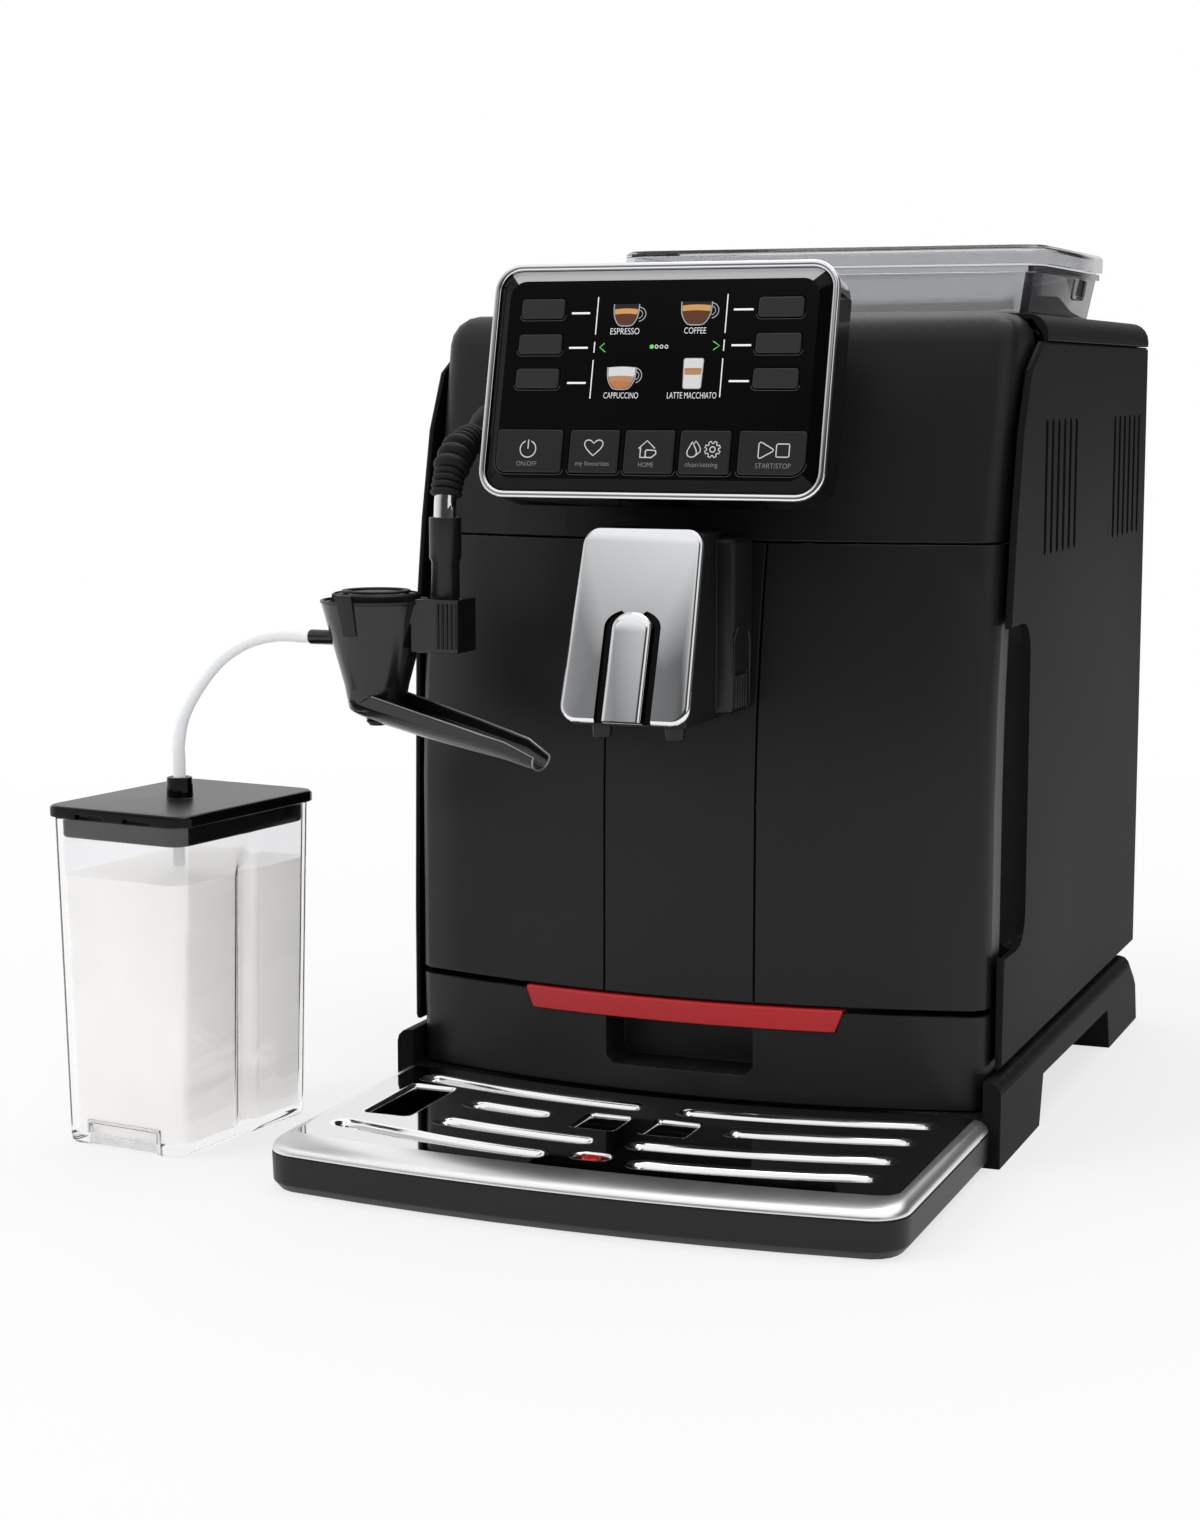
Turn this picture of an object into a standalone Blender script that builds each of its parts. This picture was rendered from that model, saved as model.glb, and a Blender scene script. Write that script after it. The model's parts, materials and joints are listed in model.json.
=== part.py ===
"""Bean to cup coffee machine with its milk jug: every piece at real size, in metres, +Z up.

The origin lies on the ground under the front foot, on the machine's centre plane. -Y is the front.
"""

import math

import bmesh
import bpy
from mathutils import Matrix, Vector

# Fits and construction values
GAP = 0.0003  # between pieces that touch
RUN = 0.0006  # round a piece that slides or turns
SEAM = 0.0007  # between neighbouring panels
WALL = 0.0025  # moulded panels
OVERRUN = 0.006  # how far a cutter passes the face that it cuts
WELD = 0.000005  # points this close are one
SMOOTH_ANGLE = math.radians(32)

# Machine body
BODY_HALF = 0.127  # to the outside of a side panel
BODY_REAR = 0.222
BODY_TOP = 0.333
TOP_SEAM = 0.322  # where the side panels meet the top cover
PANEL_FOOT = 0.037  # lower edge of the side and rear panels
FRONT_HALF = 0.122  # half width of the front shells
FRONT_Y = -0.0785  # foremost line of the front, on the centre plane
FRONT_BOW = 0.019  # how far the front curves back at its side edges
FRONT_LEAN = 0.0345  # how far the top of the front lies behind its foremost line
FRONT_CORNER = 0.010
FRONT_RETURN = 0.013  # depth of the side returns of the lower front shells
LEAN_SHARES = (
    (0.00, 0.10), (0.06, 0.04), (0.18, 0.0), (0.45, 0.0), (0.555, 0.07), (0.60, 0.13),
    (0.69, 0.27), (0.75, 0.42), (0.826, 0.61), (0.88, 0.74), (0.943, 0.86), (1.0, 1.0),
)

# Heights of the front's seams
DRAWER_BOTTOM = 0.0205
DRAWER_TOP = 0.0585
STRIP_HIGH = 0.060  # the red strip along the drawer's top edge
STRIP_PROUD = 0.0012
DOOR_BOTTOM = 0.061
DOOR_TOP = 0.243
CENTRE_HALF = 0.0315  # half width of the centre panel
FASCIA_BACK = 0.003  # where the top of the fascia meets the top cover
FASCIA_ROUND = 0.012

# Plinth
PLINTH_HALF = 0.130
PLINTH_TOP = 0.0345
PLINTH_FRONT = -0.0667
PLINTH_REAR = 0.2186
PLINTH_FLOOR = 0.023  # the drawer runs on it
ARCH_TOP = 0.0205
FOOT_PAD = 0.0025

# Control box, which leans back about the X axis
FACE_CENTRE_Y = -0.1061
FACE_CENTRE_Z = 0.3066
FACE_LEAN = math.radians(13.7)
FACE_HALF_X = 0.070
FACE_HALF_V = 0.0461
FACE_CORNER = 0.011
BOX_DEPTH = 0.027

# Spout
SPOUT_TOP = 0.2513
SPOUT_HIGH = 0.0748
SPOUT_FOOT = SPOUT_TOP - SPOUT_HIGH
SPOUT_HALF = 0.0262
NOZZLE_X = 0.0148
NOZZLE_Y = -0.123
NOZZLE_TIP = 0.171

# Drip tray
TRAY_HALF = 0.126
TRAY_FRONT = -0.206
TRAY_BOW = 0.010
TRAY_CORNER = 0.015
TRAY_HEIGHT = 0.015
COVER_TOP = 0.020

# Bean hopper
HOPPER_X = (-0.082, 0.110)
HOPPER_Y = (0.069, 0.206)
HOPPER_RISE = 0.022  # the rim over the body's top
HOPPER_RIM = BODY_TOP + HOPPER_RISE
LID_HIGH = 0.0085
LID_TOP = HOPPER_RIM + LID_HIGH

# Steam wand and milk frother
WAND_PIVOT = Vector((-0.087, -0.047, 0.283))
WAND_OUT = -0.108  # how far forward the wand hangs
WAND_RADIUS = 0.0045
FUNNEL_CENTRE = Vector((-0.1165, -0.110, 0.0))

# Milk jug
JUG_CENTRE = Vector((-0.198, -0.124, 0.0))
JUG_TURN = math.radians(-8)
JUG_TOP = 0.133
JUG_LID_TOP = 0.138

scene = bpy.context.scene
for old in list(bpy.data.objects):
    bpy.data.objects.remove(old, do_unlink=True)
PARTS = bpy.data.collections.new("bean_to_cup_coffee_machine")
CUTTERS = bpy.data.collections.new("cutters")
scene.collection.children.link(PARTS)
scene.collection.children.link(CUTTERS)


def material(name, colour, roughness, metallic=0.0):
    made = bpy.data.materials.new(name)
    made.use_nodes = True
    shader = made.node_tree.nodes["Principled BSDF"]
    shader.inputs["Base Color"].default_value = (*colour, 1.0)
    shader.inputs["Roughness"].default_value = roughness
    shader.inputs["Metallic"].default_value = metallic
    return made


def finish(name, bm, mat, outward=True):
    """The bmesh as an object: a piece when it has a material, otherwise a cutter."""
    if outward:
        bmesh.ops.recalc_face_normals(bm, faces=bm.faces)
        if bm.calc_volume(signed=True) < 0:
            bmesh.ops.reverse_faces(bm, faces=bm.faces)
    mesh = bpy.data.meshes.new(name)
    bm.to_mesh(mesh)
    bm.free()
    obj = bpy.data.objects.new(name, mesh)
    if mat is None:
        CUTTERS.objects.link(obj)
        obj.hide_render = True
        obj.display_type = "WIRE"
        return obj
    PARTS.objects.link(obj)
    mesh.materials.append(mat)
    mesh.shade_smooth()
    mesh.set_sharp_from_angle(angle=SMOOTH_ANGLE)
    return obj


def round_edges(bm, width, segments=2, pick=None):
    """Bevels every edge, or those for which pick(middle, direction) is true."""
    chosen = []
    for edge in bm.edges:
        start, end = (vert.co for vert in edge.verts)
        if pick is None or pick((start + end) / 2, (end - start).normalized()):
            chosen.append(edge)
    bmesh.ops.bevel(bm, geom=chosen, offset=width, segments=segments, profile=0.5, affect="EDGES")


def box(name, x, y, z, mat=None, bevel=0.0, segments=2, pick=None):
    bm = bmesh.new()
    size = Matrix.Diagonal((x[1] - x[0], y[1] - y[0], z[1] - z[0], 1))
    middle = Vector((x[0] + x[1], y[0] + y[1], z[0] + z[1])) / 2
    bmesh.ops.create_cube(bm, size=1, matrix=Matrix.Translation(middle) @ size)
    if bevel:
        round_edges(bm, bevel, segments, pick)
    return finish(name, bm, mat)


TURN = {
    "Z": Matrix.Identity(4),
    "X": Matrix.Rotation(math.radians(90), 4, "Y"),
    "Y": Matrix.Rotation(math.radians(-90), 4, "X"),
}


def cylinder(name, base, length, radius, mat=None, axis="Z", tip=None, segments=24):
    """A cylinder or cone that starts at base and runs along the axis."""
    bm = bmesh.new()
    place = Matrix.Translation(base) @ TURN[axis] @ Matrix.Translation((0, 0, length / 2))
    top = radius if tip is None else tip
    bmesh.ops.create_cone(
        bm, cap_ends=True, segments=segments, radius1=radius, radius2=top, depth=length, matrix=place
    )
    return finish(name, bm, mat)


def turned(name, profile, base, mat=None, axis="Z", steps=20):
    """A profile of (radius, height) points, listed down the outer side, spun by a Screw modifier."""
    bm = bmesh.new()
    points = [bm.verts.new((radius, 0, height)) for radius, height in profile]
    for start, end in zip(points, points[1:]):
        bm.edges.new((start, end))
    obj = finish(name, bm, mat, outward=False)
    obj.matrix_world = Matrix.Translation(base) @ TURN[axis]
    screw = obj.modifiers.new("turn", "SCREW")
    screw.steps = steps
    screw.render_steps = steps
    screw.use_merge_vertices = True
    screw.merge_threshold = WELD
    screw.use_smooth_shade = True
    return obj


PLANES = {
    "XY": Matrix.Identity(4),
    "YZ": Matrix(((0, 0, 1, 0), (1, 0, 0, 0), (0, 1, 0, 0), (0, 0, 0, 1))),
    "XZ": Matrix(((1, 0, 0, 0), (0, 0, -1, 0), (0, 1, 0, 0), (0, 0, 0, 1))),
}


def prism(name, outline, plane, span, mat=None, bevel=0.0, pick=None, segments=2, place=None):
    """A flat outline in a plane, filled and extruded over the span along the third axis."""
    curve = bpy.data.curves.new(name, "CURVE")
    curve.dimensions = "2D"
    curve.fill_mode = "BOTH"
    curve.extrude = abs(span[1] - span[0]) / 2
    spline = curve.splines.new("POLY")
    spline.points.add(len(outline) - 1)
    for point, (u, v) in zip(spline.points, outline):
        point.co = (u, v, 0, 1)
    spline.use_cyclic_u = True
    holder = bpy.data.objects.new(name + "_outline", curve)
    CUTTERS.objects.link(holder)
    bpy.context.view_layer.update()
    graph = bpy.context.evaluated_depsgraph_get()
    flat = bpy.data.meshes.new_from_object(holder.evaluated_get(graph))
    bm = bmesh.new()
    bm.from_mesh(flat)
    bmesh.ops.remove_doubles(bm, verts=bm.verts, dist=WELD)
    bmesh.ops.dissolve_limit(bm, angle_limit=math.radians(0.1), verts=bm.verts, edges=bm.edges)
    bpy.data.objects.remove(holder, do_unlink=True)
    bpy.data.meshes.remove(flat)
    middle = (span[0] + span[1]) / 2
    if plane == "XZ":
        middle = -middle
    bm.transform((place or PLANES[plane]) @ Matrix.Translation((0, 0, middle)))
    if bevel:
        bmesh.ops.recalc_face_normals(bm, faces=bm.faces)
        round_edges(bm, bevel, segments, pick)
    return finish(name, bm, mat)


def loft(name, rings, mat=None, closed=False):
    """Skins rings of equally many points; the ends are capped unless the last ring joins the first."""
    bm = bmesh.new()
    made = [[bm.verts.new(point) for point in ring] for ring in rings]
    pairs = list(zip(made, made[1:]))
    if closed:
        pairs.append((made[-1], made[0]))
    count = len(made[0])
    for lower, upper in pairs:
        for i in range(count):
            j = (i + 1) % count
            bm.faces.new((lower[i], lower[j], upper[j], upper[i]))
    if not closed:
        bm.faces.new(list(reversed(made[0])))
        bm.faces.new(made[-1])
    return finish(name, bm, mat)


def rod(name, points, radius, mat, resolution=3):
    """A round bar along the points, as a curve with filled caps."""
    curve = bpy.data.curves.new(name, "CURVE")
    curve.dimensions = "3D"
    curve.bevel_depth = radius
    curve.bevel_resolution = resolution
    curve.use_fill_caps = True
    spline = curve.splines.new("POLY")
    spline.points.add(len(points) - 1)
    for point, place in zip(spline.points, points):
        point.co = (*place, 1)
    obj = bpy.data.objects.new(name, curve)
    PARTS.objects.link(obj)
    curve.materials.append(mat)
    return obj


def boolean(obj, operation, others):
    for other in others:
        step = obj.modifiers.new(operation.lower() + "_" + other.name, "BOOLEAN")
        step.operation = operation
        step.object = other
    return obj


def cut(obj, *others):
    return boolean(obj, "DIFFERENCE", others)


def join(obj, *others):
    return boolean(obj, "UNION", others)


def rounded(half_x, half_y, radius, corner=4, centre=(0, 0)):
    """Points of a rounded rectangle, corner + 1 of them at each corner, anticlockwise."""
    points = []
    for quarter, (sx, sy) in enumerate(((1, 1), (-1, 1), (-1, -1), (1, -1))):
        for step in range(corner + 1):
            angle = math.radians(90) * (quarter + step / corner)
            x = centre[0] + sx * (half_x - radius) + radius * math.cos(angle)
            y = centre[1] + sy * (half_y - radius) + radius * math.sin(angle)
            points.append((x, y))
    return points


def between(table, at):
    """Linear reading of a table of pairs."""
    if at <= table[0][0]:
        return table[0][1]
    for (a, low), (b, high) in zip(table, table[1:]):
        if at <= b:
            return low + (high - low) * (at - a) / (b - a)
    return table[-1][1]


def front_y(x, z):
    """Where the machine's front surface lies, before the rounding of its side edges."""
    lean = FRONT_LEAN * between(LEAN_SHARES, z / BODY_TOP)
    return FRONT_Y + lean + FRONT_BOW * (x / FRONT_HALF) ** 2


BLACK = material("satin_black_plastic", (0.012, 0.012, 0.013), 0.42)
DARK = material("black_moulding", (0.008, 0.008, 0.009), 0.5)
GLOSS = material("gloss_black", (0.004, 0.004, 0.005), 0.06)
CHROME = material("chrome", (0.75, 0.76, 0.78), 0.08, 1.0)
STEEL = material("polished_steel", (0.55, 0.56, 0.58), 0.2, 1.0)
RED = material("red_plastic", (0.45, 0.012, 0.015), 0.3)
GREY_KEY = material("dark_grey_key", (0.035, 0.036, 0.04), 0.5)
RUBBER = material("black_rubber", (0.01, 0.01, 0.01), 0.75)
SMOKE = material("smoked_clear_plastic", (0.16, 0.17, 0.18), 0.1)
CLEAR = material("clear_plastic", (0.75, 0.78, 0.82), 0.08)
BOARD = material("circuit_board", (0.02, 0.12, 0.05), 0.5)
METAL = material("plain_metal", (0.45, 0.45, 0.46), 0.35, 1.0)
BRASS = material("brass", (0.55, 0.4, 0.15), 0.3, 1.0)
HOSE = material("clear_hose", (0.8, 0.82, 0.84), 0.25)


def plan_points(x0, x1, steps):
    """(x, y offset) across the front, with the rounded edge and its return where x1 is the side edge."""
    corner = FRONT_HALF - FRONT_CORNER
    side = abs(x1) >= FRONT_HALF
    sign = 1 if x1 > 0 else -1
    last = sign * corner if side else x1
    points = [(x0 + (last - x0) * i / steps, 0) for i in range(steps + 1)]
    if not side:
        return points
    for angle in (30, 60, 90):
        turn = math.radians(angle)
        out = corner + FRONT_CORNER * math.sin(turn)
        points.append((sign * out, FRONT_CORNER * (1 - math.cos(turn))))
    points.append((sign * FRONT_HALF, FRONT_CORNER + FRONT_RETURN))
    return points


def front_shell(name, columns, rows, mat, proud=0.0, thickness=WALL):
    """A shell whose outer face follows the machine's front: a grid mapped to it, then thickened inwards."""
    columns = sorted(columns, key=lambda point: (round(point[0], 6), point[1] * point[0]))
    limit = FRONT_HALF - FRONT_CORNER
    bm = bmesh.new()
    bmesh.ops.create_grid(bm, x_segments=len(columns) - 1, y_segments=len(rows) - 1, size=1)
    for vert in bm.verts:
        x, back = columns[round((vert.co.x + 1) / 2 * (len(columns) - 1))]
        z = rows[round((vert.co.y + 1) / 2 * (len(rows) - 1))]
        flat_x = max(-limit, min(limit, x))
        vert.co = (x, front_y(flat_x, z) + back - proud, z)
    obj = finish(name, bm, mat, outward=False)
    thick = obj.modifiers.new("thickness", "SOLIDIFY")
    thick.thickness = thickness
    thick.offset = -1
    thick.use_even_offset = True
    return obj


def steps_between(low, high, count):
    return [low + (high - low) * i / count for i in range(count + 1)]


def plinth():
    rear_round = 0.020
    foot_front = 0.0049
    rear_foot = 0.1515
    slope = 0.006
    outline = [
        (PLINTH_FRONT, 0), (foot_front, 0), (foot_front + slope, ARCH_TOP), (rear_foot - slope, ARCH_TOP - slope / 4),
        (rear_foot, 0), (PLINTH_REAR, 0), (PLINTH_REAR - slope, PLINTH_TOP - rear_round / 2),
        (PLINTH_REAR - rear_round, PLINTH_TOP), (PLINTH_FRONT, PLINTH_TOP),
    ]
    shoulder = 0.005
    body = prism(
        "plinth", outline, "YZ", (-PLINTH_HALF, PLINTH_HALF), BLACK, bevel=shoulder, segments=3,
        pick=lambda middle, way: abs(middle.x) > PLINTH_HALF * 0.99 and middle.z > PLINTH_TOP * 0.7,
    )
    pocket_half = 0.112
    front_wall = 0.016
    pocket = box(
        "plinth_pocket", (-pocket_half, pocket_half), (PLINTH_FRONT - OVERRUN, PLINTH_REAR - rear_round - front_wall),
        (PLINTH_FLOOR, PLINTH_TOP + OVERRUN),
    )
    front_half = FRONT_HALF + RUN
    reach = FRONT_RETURN + FRONT_CORNER + 2 * RUN
    front_cut = box(
        "plinth_front_cut", (-front_half, front_half),
        (PLINTH_FRONT - OVERRUN, front_y(FRONT_HALF - FRONT_CORNER, DRAWER_BOTTOM) + reach),
        (DRAWER_BOTTOM - RUN, PLINTH_TOP + OVERRUN),
    )
    cut(body, pocket, front_cut)
    pads = (("front_foot_strip", PLINTH_FRONT, foot_front), ("rear_foot_strip", rear_foot, PLINTH_REAR))
    inset = 0.0018
    edge = 0.012
    for name, front, rear in pads:
        x = (-PLINTH_HALF + edge, PLINTH_HALF - edge)
        sunk = box(name + "_seat", x, (front + inset, rear - inset), (-OVERRUN, FOOT_PAD))
        cut(body, sunk)
        box(
            name, (x[0] + GAP, x[1] - GAP), (front + inset + GAP, rear - inset - GAP), (0, FOOT_PAD - GAP), RUBBER
        )
    tongue_slots(body)


TONGUE = {"x": 0.070, "half": 0.012, "low": 0.006, "high": 0.011, "reach": 0.022}


def tongue_slots(body):
    """Two slots in the plinth's front that take the drip tray's tongues."""
    for side in (-1, 1):
        x = side * TONGUE["x"]
        slot = box(
            "tongue_slot", (x - TONGUE["half"] - RUN, x + TONGUE["half"] + RUN),
            (PLINTH_FRONT - OVERRUN, PLINTH_FRONT + TONGUE["reach"] + RUN),
            (TONGUE["low"] - RUN, TONGUE["high"] + RUN),
        )
        cut(body, slot)


def frame():
    """Deck over the drawer, a bulkhead beside the tank and a bench for the grinder, as one moulding."""
    plate = 0.003
    deck_low = DRAWER_TOP + 2 * RUN
    deck_high = deck_low + plate
    half = 0.1155
    front = -0.046
    rear = 0.198
    side = 0.0025
    side_front = -0.038
    bulkhead_top = 0.240
    deck = box("inner_frame", (-half, half), (front, rear), (deck_low, deck_high), DARK)
    rest = PLINTH_TOP + GAP
    lap = plate / 2
    parts = [
        box("frame_left", (-half, -half + side), (side_front, rear), (rest, deck_low + lap)),
        box("frame_right", (half - side, half), (side_front, rear), (rest, deck_low + lap)),
        box("frame_bulkhead", (BULKHEAD_X, BULKHEAD_X + plate), (front, BODY_REAR - WALL - GAP),
            (deck_low + lap, bulkhead_top)),
        box("bench_top", (BULKHEAD_X + lap, BENCH_RIGHT), BENCH_Y, (BENCH_TOP - plate, BENCH_TOP)),
        box("bench_leg", (BENCH_RIGHT - plate, BENCH_RIGHT), BENCH_Y, (deck_low + lap, BENCH_TOP - lap)),
    ]
    join(deck, *parts)
    return deck_high


BULKHEAD_X = 0.0305
BENCH_RIGHT = 0.112
BENCH_Y = (0.110, 0.170)
BENCH_TOP = 0.180


def side_panels():
    thickness = WALL
    front_shares = ((0.0, 0.0), (0.17, 1.0), (0.61, 0.94), (0.745, 0.82), (0.875, 0.65), (0.96, 0.41), (1.0, 0.0))
    front_low = -0.0545
    front_high = -0.0034
    height = TOP_SEAM - GAP - PANEL_FOOT
    sweep = [
        (front_high + (front_low - front_high) * share, PANEL_FOOT + height * at)
        for at, share in front_shares[1:]
    ]
    outline = [(BODY_REAR, PANEL_FOOT), (BODY_REAR, TOP_SEAM - GAP)] + sweep[::-1] + [(front_low, PANEL_FOOT)]
    lower_bevel = 0.0012
    for name, sign in (("left_side_panel", -1), ("right_side_panel", 1)):
        outer = sign * BODY_HALF
        inner = sign * (BODY_HALF - thickness)
        panel = prism(
            name, outline, "YZ", (min(outer, inner), max(outer, inner)), BLACK, bevel=lower_bevel, segments=1,
            pick=lambda middle, way: abs(middle.x) > BODY_HALF * 0.999,
        )
        if sign > 0:
            scoop(panel)
        vents(panel, min(outer, inner), max(outer, inner))


def vents(panel, inside, outside):
    """Two groups of upright slots with rounded ends."""
    low = 0.236
    high = 0.291
    width = 0.0046
    pitch = 0.0114
    starts = (0.0054, 0.1457)
    count = 6
    for group, start in enumerate(starts):
        for i in range(count):
            y = start + pitch * i
            outline = [(y + u, (low + high) / 2 + v) for u, v in rounded(width / 2, (high - low) / 2, width / 2.01, 2)]
            slot = prism(f"vent_{group}_{i}", outline, "YZ", (inside - OVERRUN, outside + OVERRUN))
            cut(panel, slot)


def scoop(panel):
    """The finger scoop in the right panel's front edge, behind the side return of the tank's front."""
    low = 0.080
    high = 0.212
    back = -0.016
    front = -0.062
    block_front = -0.0315
    depth = 0.0085
    wall = 0.0020
    corner = 0.013
    middle = (low + high) / 2
    half = (high - low) / 2
    block = box("scoop_block", (BODY_HALF - depth - wall, BODY_HALF - WALL / 2), (block_front, back + wall),
                (low - wall, high + wall))
    join(panel, block)
    rings = []
    for x, inset in ((BODY_HALF + OVERRUN, 0.0), (BODY_HALF - depth * 0.35, 0.0008), (BODY_HALF - depth * 0.75, 0.0030),
                     (BODY_HALF - depth, 0.0075)):
        long = (back - inset - front) / 2
        outline = rounded(long, half - inset, corner, 4, (front + long, middle))
        rings.append([(x, y, z) for y, z in outline])
    cut(panel, loft("scoop_hollow", rings))


def rear_panel():
    half = BODY_HALF - WALL - GAP
    panel = box(
        "rear_panel", (-half, half), (BODY_REAR - WALL, BODY_REAR - GAP), (PLINTH_TOP + GAP, TOP_SEAM - GAP), BLACK
    )
    cut(
        panel,
        box("inlet_hole", (INLET_X[0] - GAP, INLET_X[1] + GAP), (BODY_REAR - OVERRUN, BODY_REAR + OVERRUN),
            (INLET_Z[0] - GAP, INLET_Z[1] + GAP)),
    )


INLET_X = (-0.098, -0.036)
INLET_Z = (0.064, 0.092)


def top_cover():
    """A shallow hood with long rounded shoulders and the hopper's opening."""
    shoulder = 0.0085
    front = FASCIA_BACK + SEAM
    half = BODY_HALF
    arc = []
    for i in range(6):
        angle = math.radians(90) * i / 5
        arc.append((shoulder * math.cos(angle), shoulder * math.sin(angle)))
    drop = BODY_TOP - shoulder
    right = [(half - shoulder + u, drop + v) for u, v in arc]
    outline = [(half, TOP_SEAM)] + right + [(-x, z) for x, z in right[::-1]] + [(-half, TOP_SEAM)]
    inner = half - WALL
    outline += [(-inner, TOP_SEAM), (-inner, drop), (-inner + shoulder / 2, BODY_TOP - WALL)]
    outline += [(inner - shoulder / 2, BODY_TOP - WALL), (inner, drop), (inner, TOP_SEAM)]
    cover = prism("top_cover", outline, "XZ", (front, BODY_REAR - WALL), BLACK)
    back = prism(
        "top_cover_back", [(half, TOP_SEAM)] + right + [(-x, z) for x, z in right[::-1]] + [(-half, TOP_SEAM)],
        "XZ", (BODY_REAR - WALL - GAP, BODY_REAR),
    )
    join(cover, back)
    hole = prism(
        "hopper_opening",
        [(HOPPER_WELL[0] + u, HOPPER_WELL[1] + v)
         for u, v in rounded(HOPPER_WELL[2] + RUN, HOPPER_WELL[3] + RUN, HOPPER_CORNER)],
        "XY", (BODY_TOP - OVERRUN, BODY_TOP + OVERRUN),
    )
    cut(cover, hole)


# Centre and half sizes of the hopper where it drops through the top cover
HOPPER_WELL = (0.014, 0.1375, 0.080, 0.056)
HOPPER_CORNER = 0.012


def upper_fascia():
    """The hood above the seam: a box cage rounded at its top and sides, bent to the front's curve."""
    low = DOOR_TOP + SEAM
    depth = 0.047
    fillet = FASCIA_ROUND
    half = FRONT_HALF
    mid = fillet * math.tan(math.radians(22.5))
    bm = bmesh.new()
    size = Matrix.Diagonal((2 * half, depth, BODY_TOP - low, 1))
    bmesh.ops.create_cube(
        bm, size=1, matrix=Matrix.Translation((0, depth / 2, (BODY_TOP + low) / 2)) @ size
    )
    slices = [("x", x) for x in steps_between(-half + fillet, half - fillet, 8)]
    slices += [("x", sign * (half - fillet + mid)) for sign in (-1, 1)]
    slices += [("z", z) for z in steps_between(low, BODY_TOP - fillet, 4)[1:]] + [("z", BODY_TOP - fillet + mid)]
    slices += [("y", y) for y in (fillet - mid, fillet, depth / 2)]
    ways = {"x": Vector((1, 0, 0)), "y": Vector((0, 1, 0)), "z": Vector((0, 0, 1))}
    for axis, at in slices:
        everything = bm.verts[:] + bm.edges[:] + bm.faces[:]
        bmesh.ops.bisect_plane(bm, geom=everything, plane_co=ways[axis] * at, plane_no=ways[axis])
    gone = [face for face in bm.faces if face.normal.z < -0.5 or face.normal.y > 0.5]
    bmesh.ops.delete(bm, geom=gone, context="FACES")
    for vert in bm.verts:
        point = vert.co.copy()
        core = Vector((
            max(-half + fillet, min(half - fillet, point.x)), max(fillet, point.y),
            min(BODY_TOP - fillet, point.z),
        ))
        away = point - core
        if away.length > WELD:
            point = core + away.normalized() * fillet
        share = point.y / depth
        face = front_y(max(-half + fillet, min(half - fillet, point.x)), min(point.z, BODY_TOP))
        vert.co = (point.x, face + share * (FASCIA_BACK - face), point.z)
    hood = finish("upper_fascia", bm, BLACK, outward=False)
    thick = hood.modifiers.new("thickness", "SOLIDIFY")
    thick.thickness = WALL
    thick.offset = -1
    thick.use_even_offset = True
    ahead = 0.020
    length = 0.045
    hole = cylinder(
        "wand_hole", WAND_PIVOT - Vector((0, ahead, 0)), length, WAND_SOCKET_RADIUS + GAP, axis="Y"
    )
    cut(hood, control_neck("control_neck_hole", RUN), hole)


WAND_SOCKET_RADIUS = 0.011


def lower_shells():
    rows = steps_between(DOOR_BOTTOM, DOOR_TOP, 9)
    edge = CENTRE_HALF + SEAM
    front_shell("left_front_panel", plan_points(-edge, -FRONT_HALF, 4), rows, BLACK)
    front_shell("tank_front_panel", plan_points(edge, FRONT_HALF, 4), rows, BLACK)
    front_shell("centre_panel", plan_points(-CENTRE_HALF, CENTRE_HALF, 4), rows, BLACK)


CONTROL = Matrix.Translation((0, FACE_CENTRE_Y, FACE_CENTRE_Z)) @ Matrix.Rotation(
    math.radians(90) - FACE_LEAN, 4, "X"
)
BEZEL_WIDTH = 0.0017
FACE_THICK = 0.003
KEY_FLANGE = 0.001
KEY_FLANGE_THICK = 0.0013
KEY_TRAVEL = 0.001
NECK_HALF_X = 0.055
NECK_HALF_V = 0.032


def ring(half_x, half_y, radius, height, corner=3, centre=(0, 0)):
    return [(x, y, height) for x, y in rounded(half_x, half_y, radius, corner, centre)]


def on_face(obj):
    obj.matrix_world = CONTROL
    return obj


def control_neck(name, clearance, mat=None):
    """The narrow part of the control box that runs back through the fascia."""
    taper = 0.004
    start = -BOX_DEPTH + taper
    length = 0.055
    corner = FACE_CORNER + clearance
    rings = [
        ring(NECK_HALF_X + clearance, NECK_HALF_V + clearance, corner, start),
        ring(NECK_HALF_X - taper + clearance, NECK_HALF_V - taper + clearance, corner, start - length),
    ]
    return on_face(loft(name, rings, mat))


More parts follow.
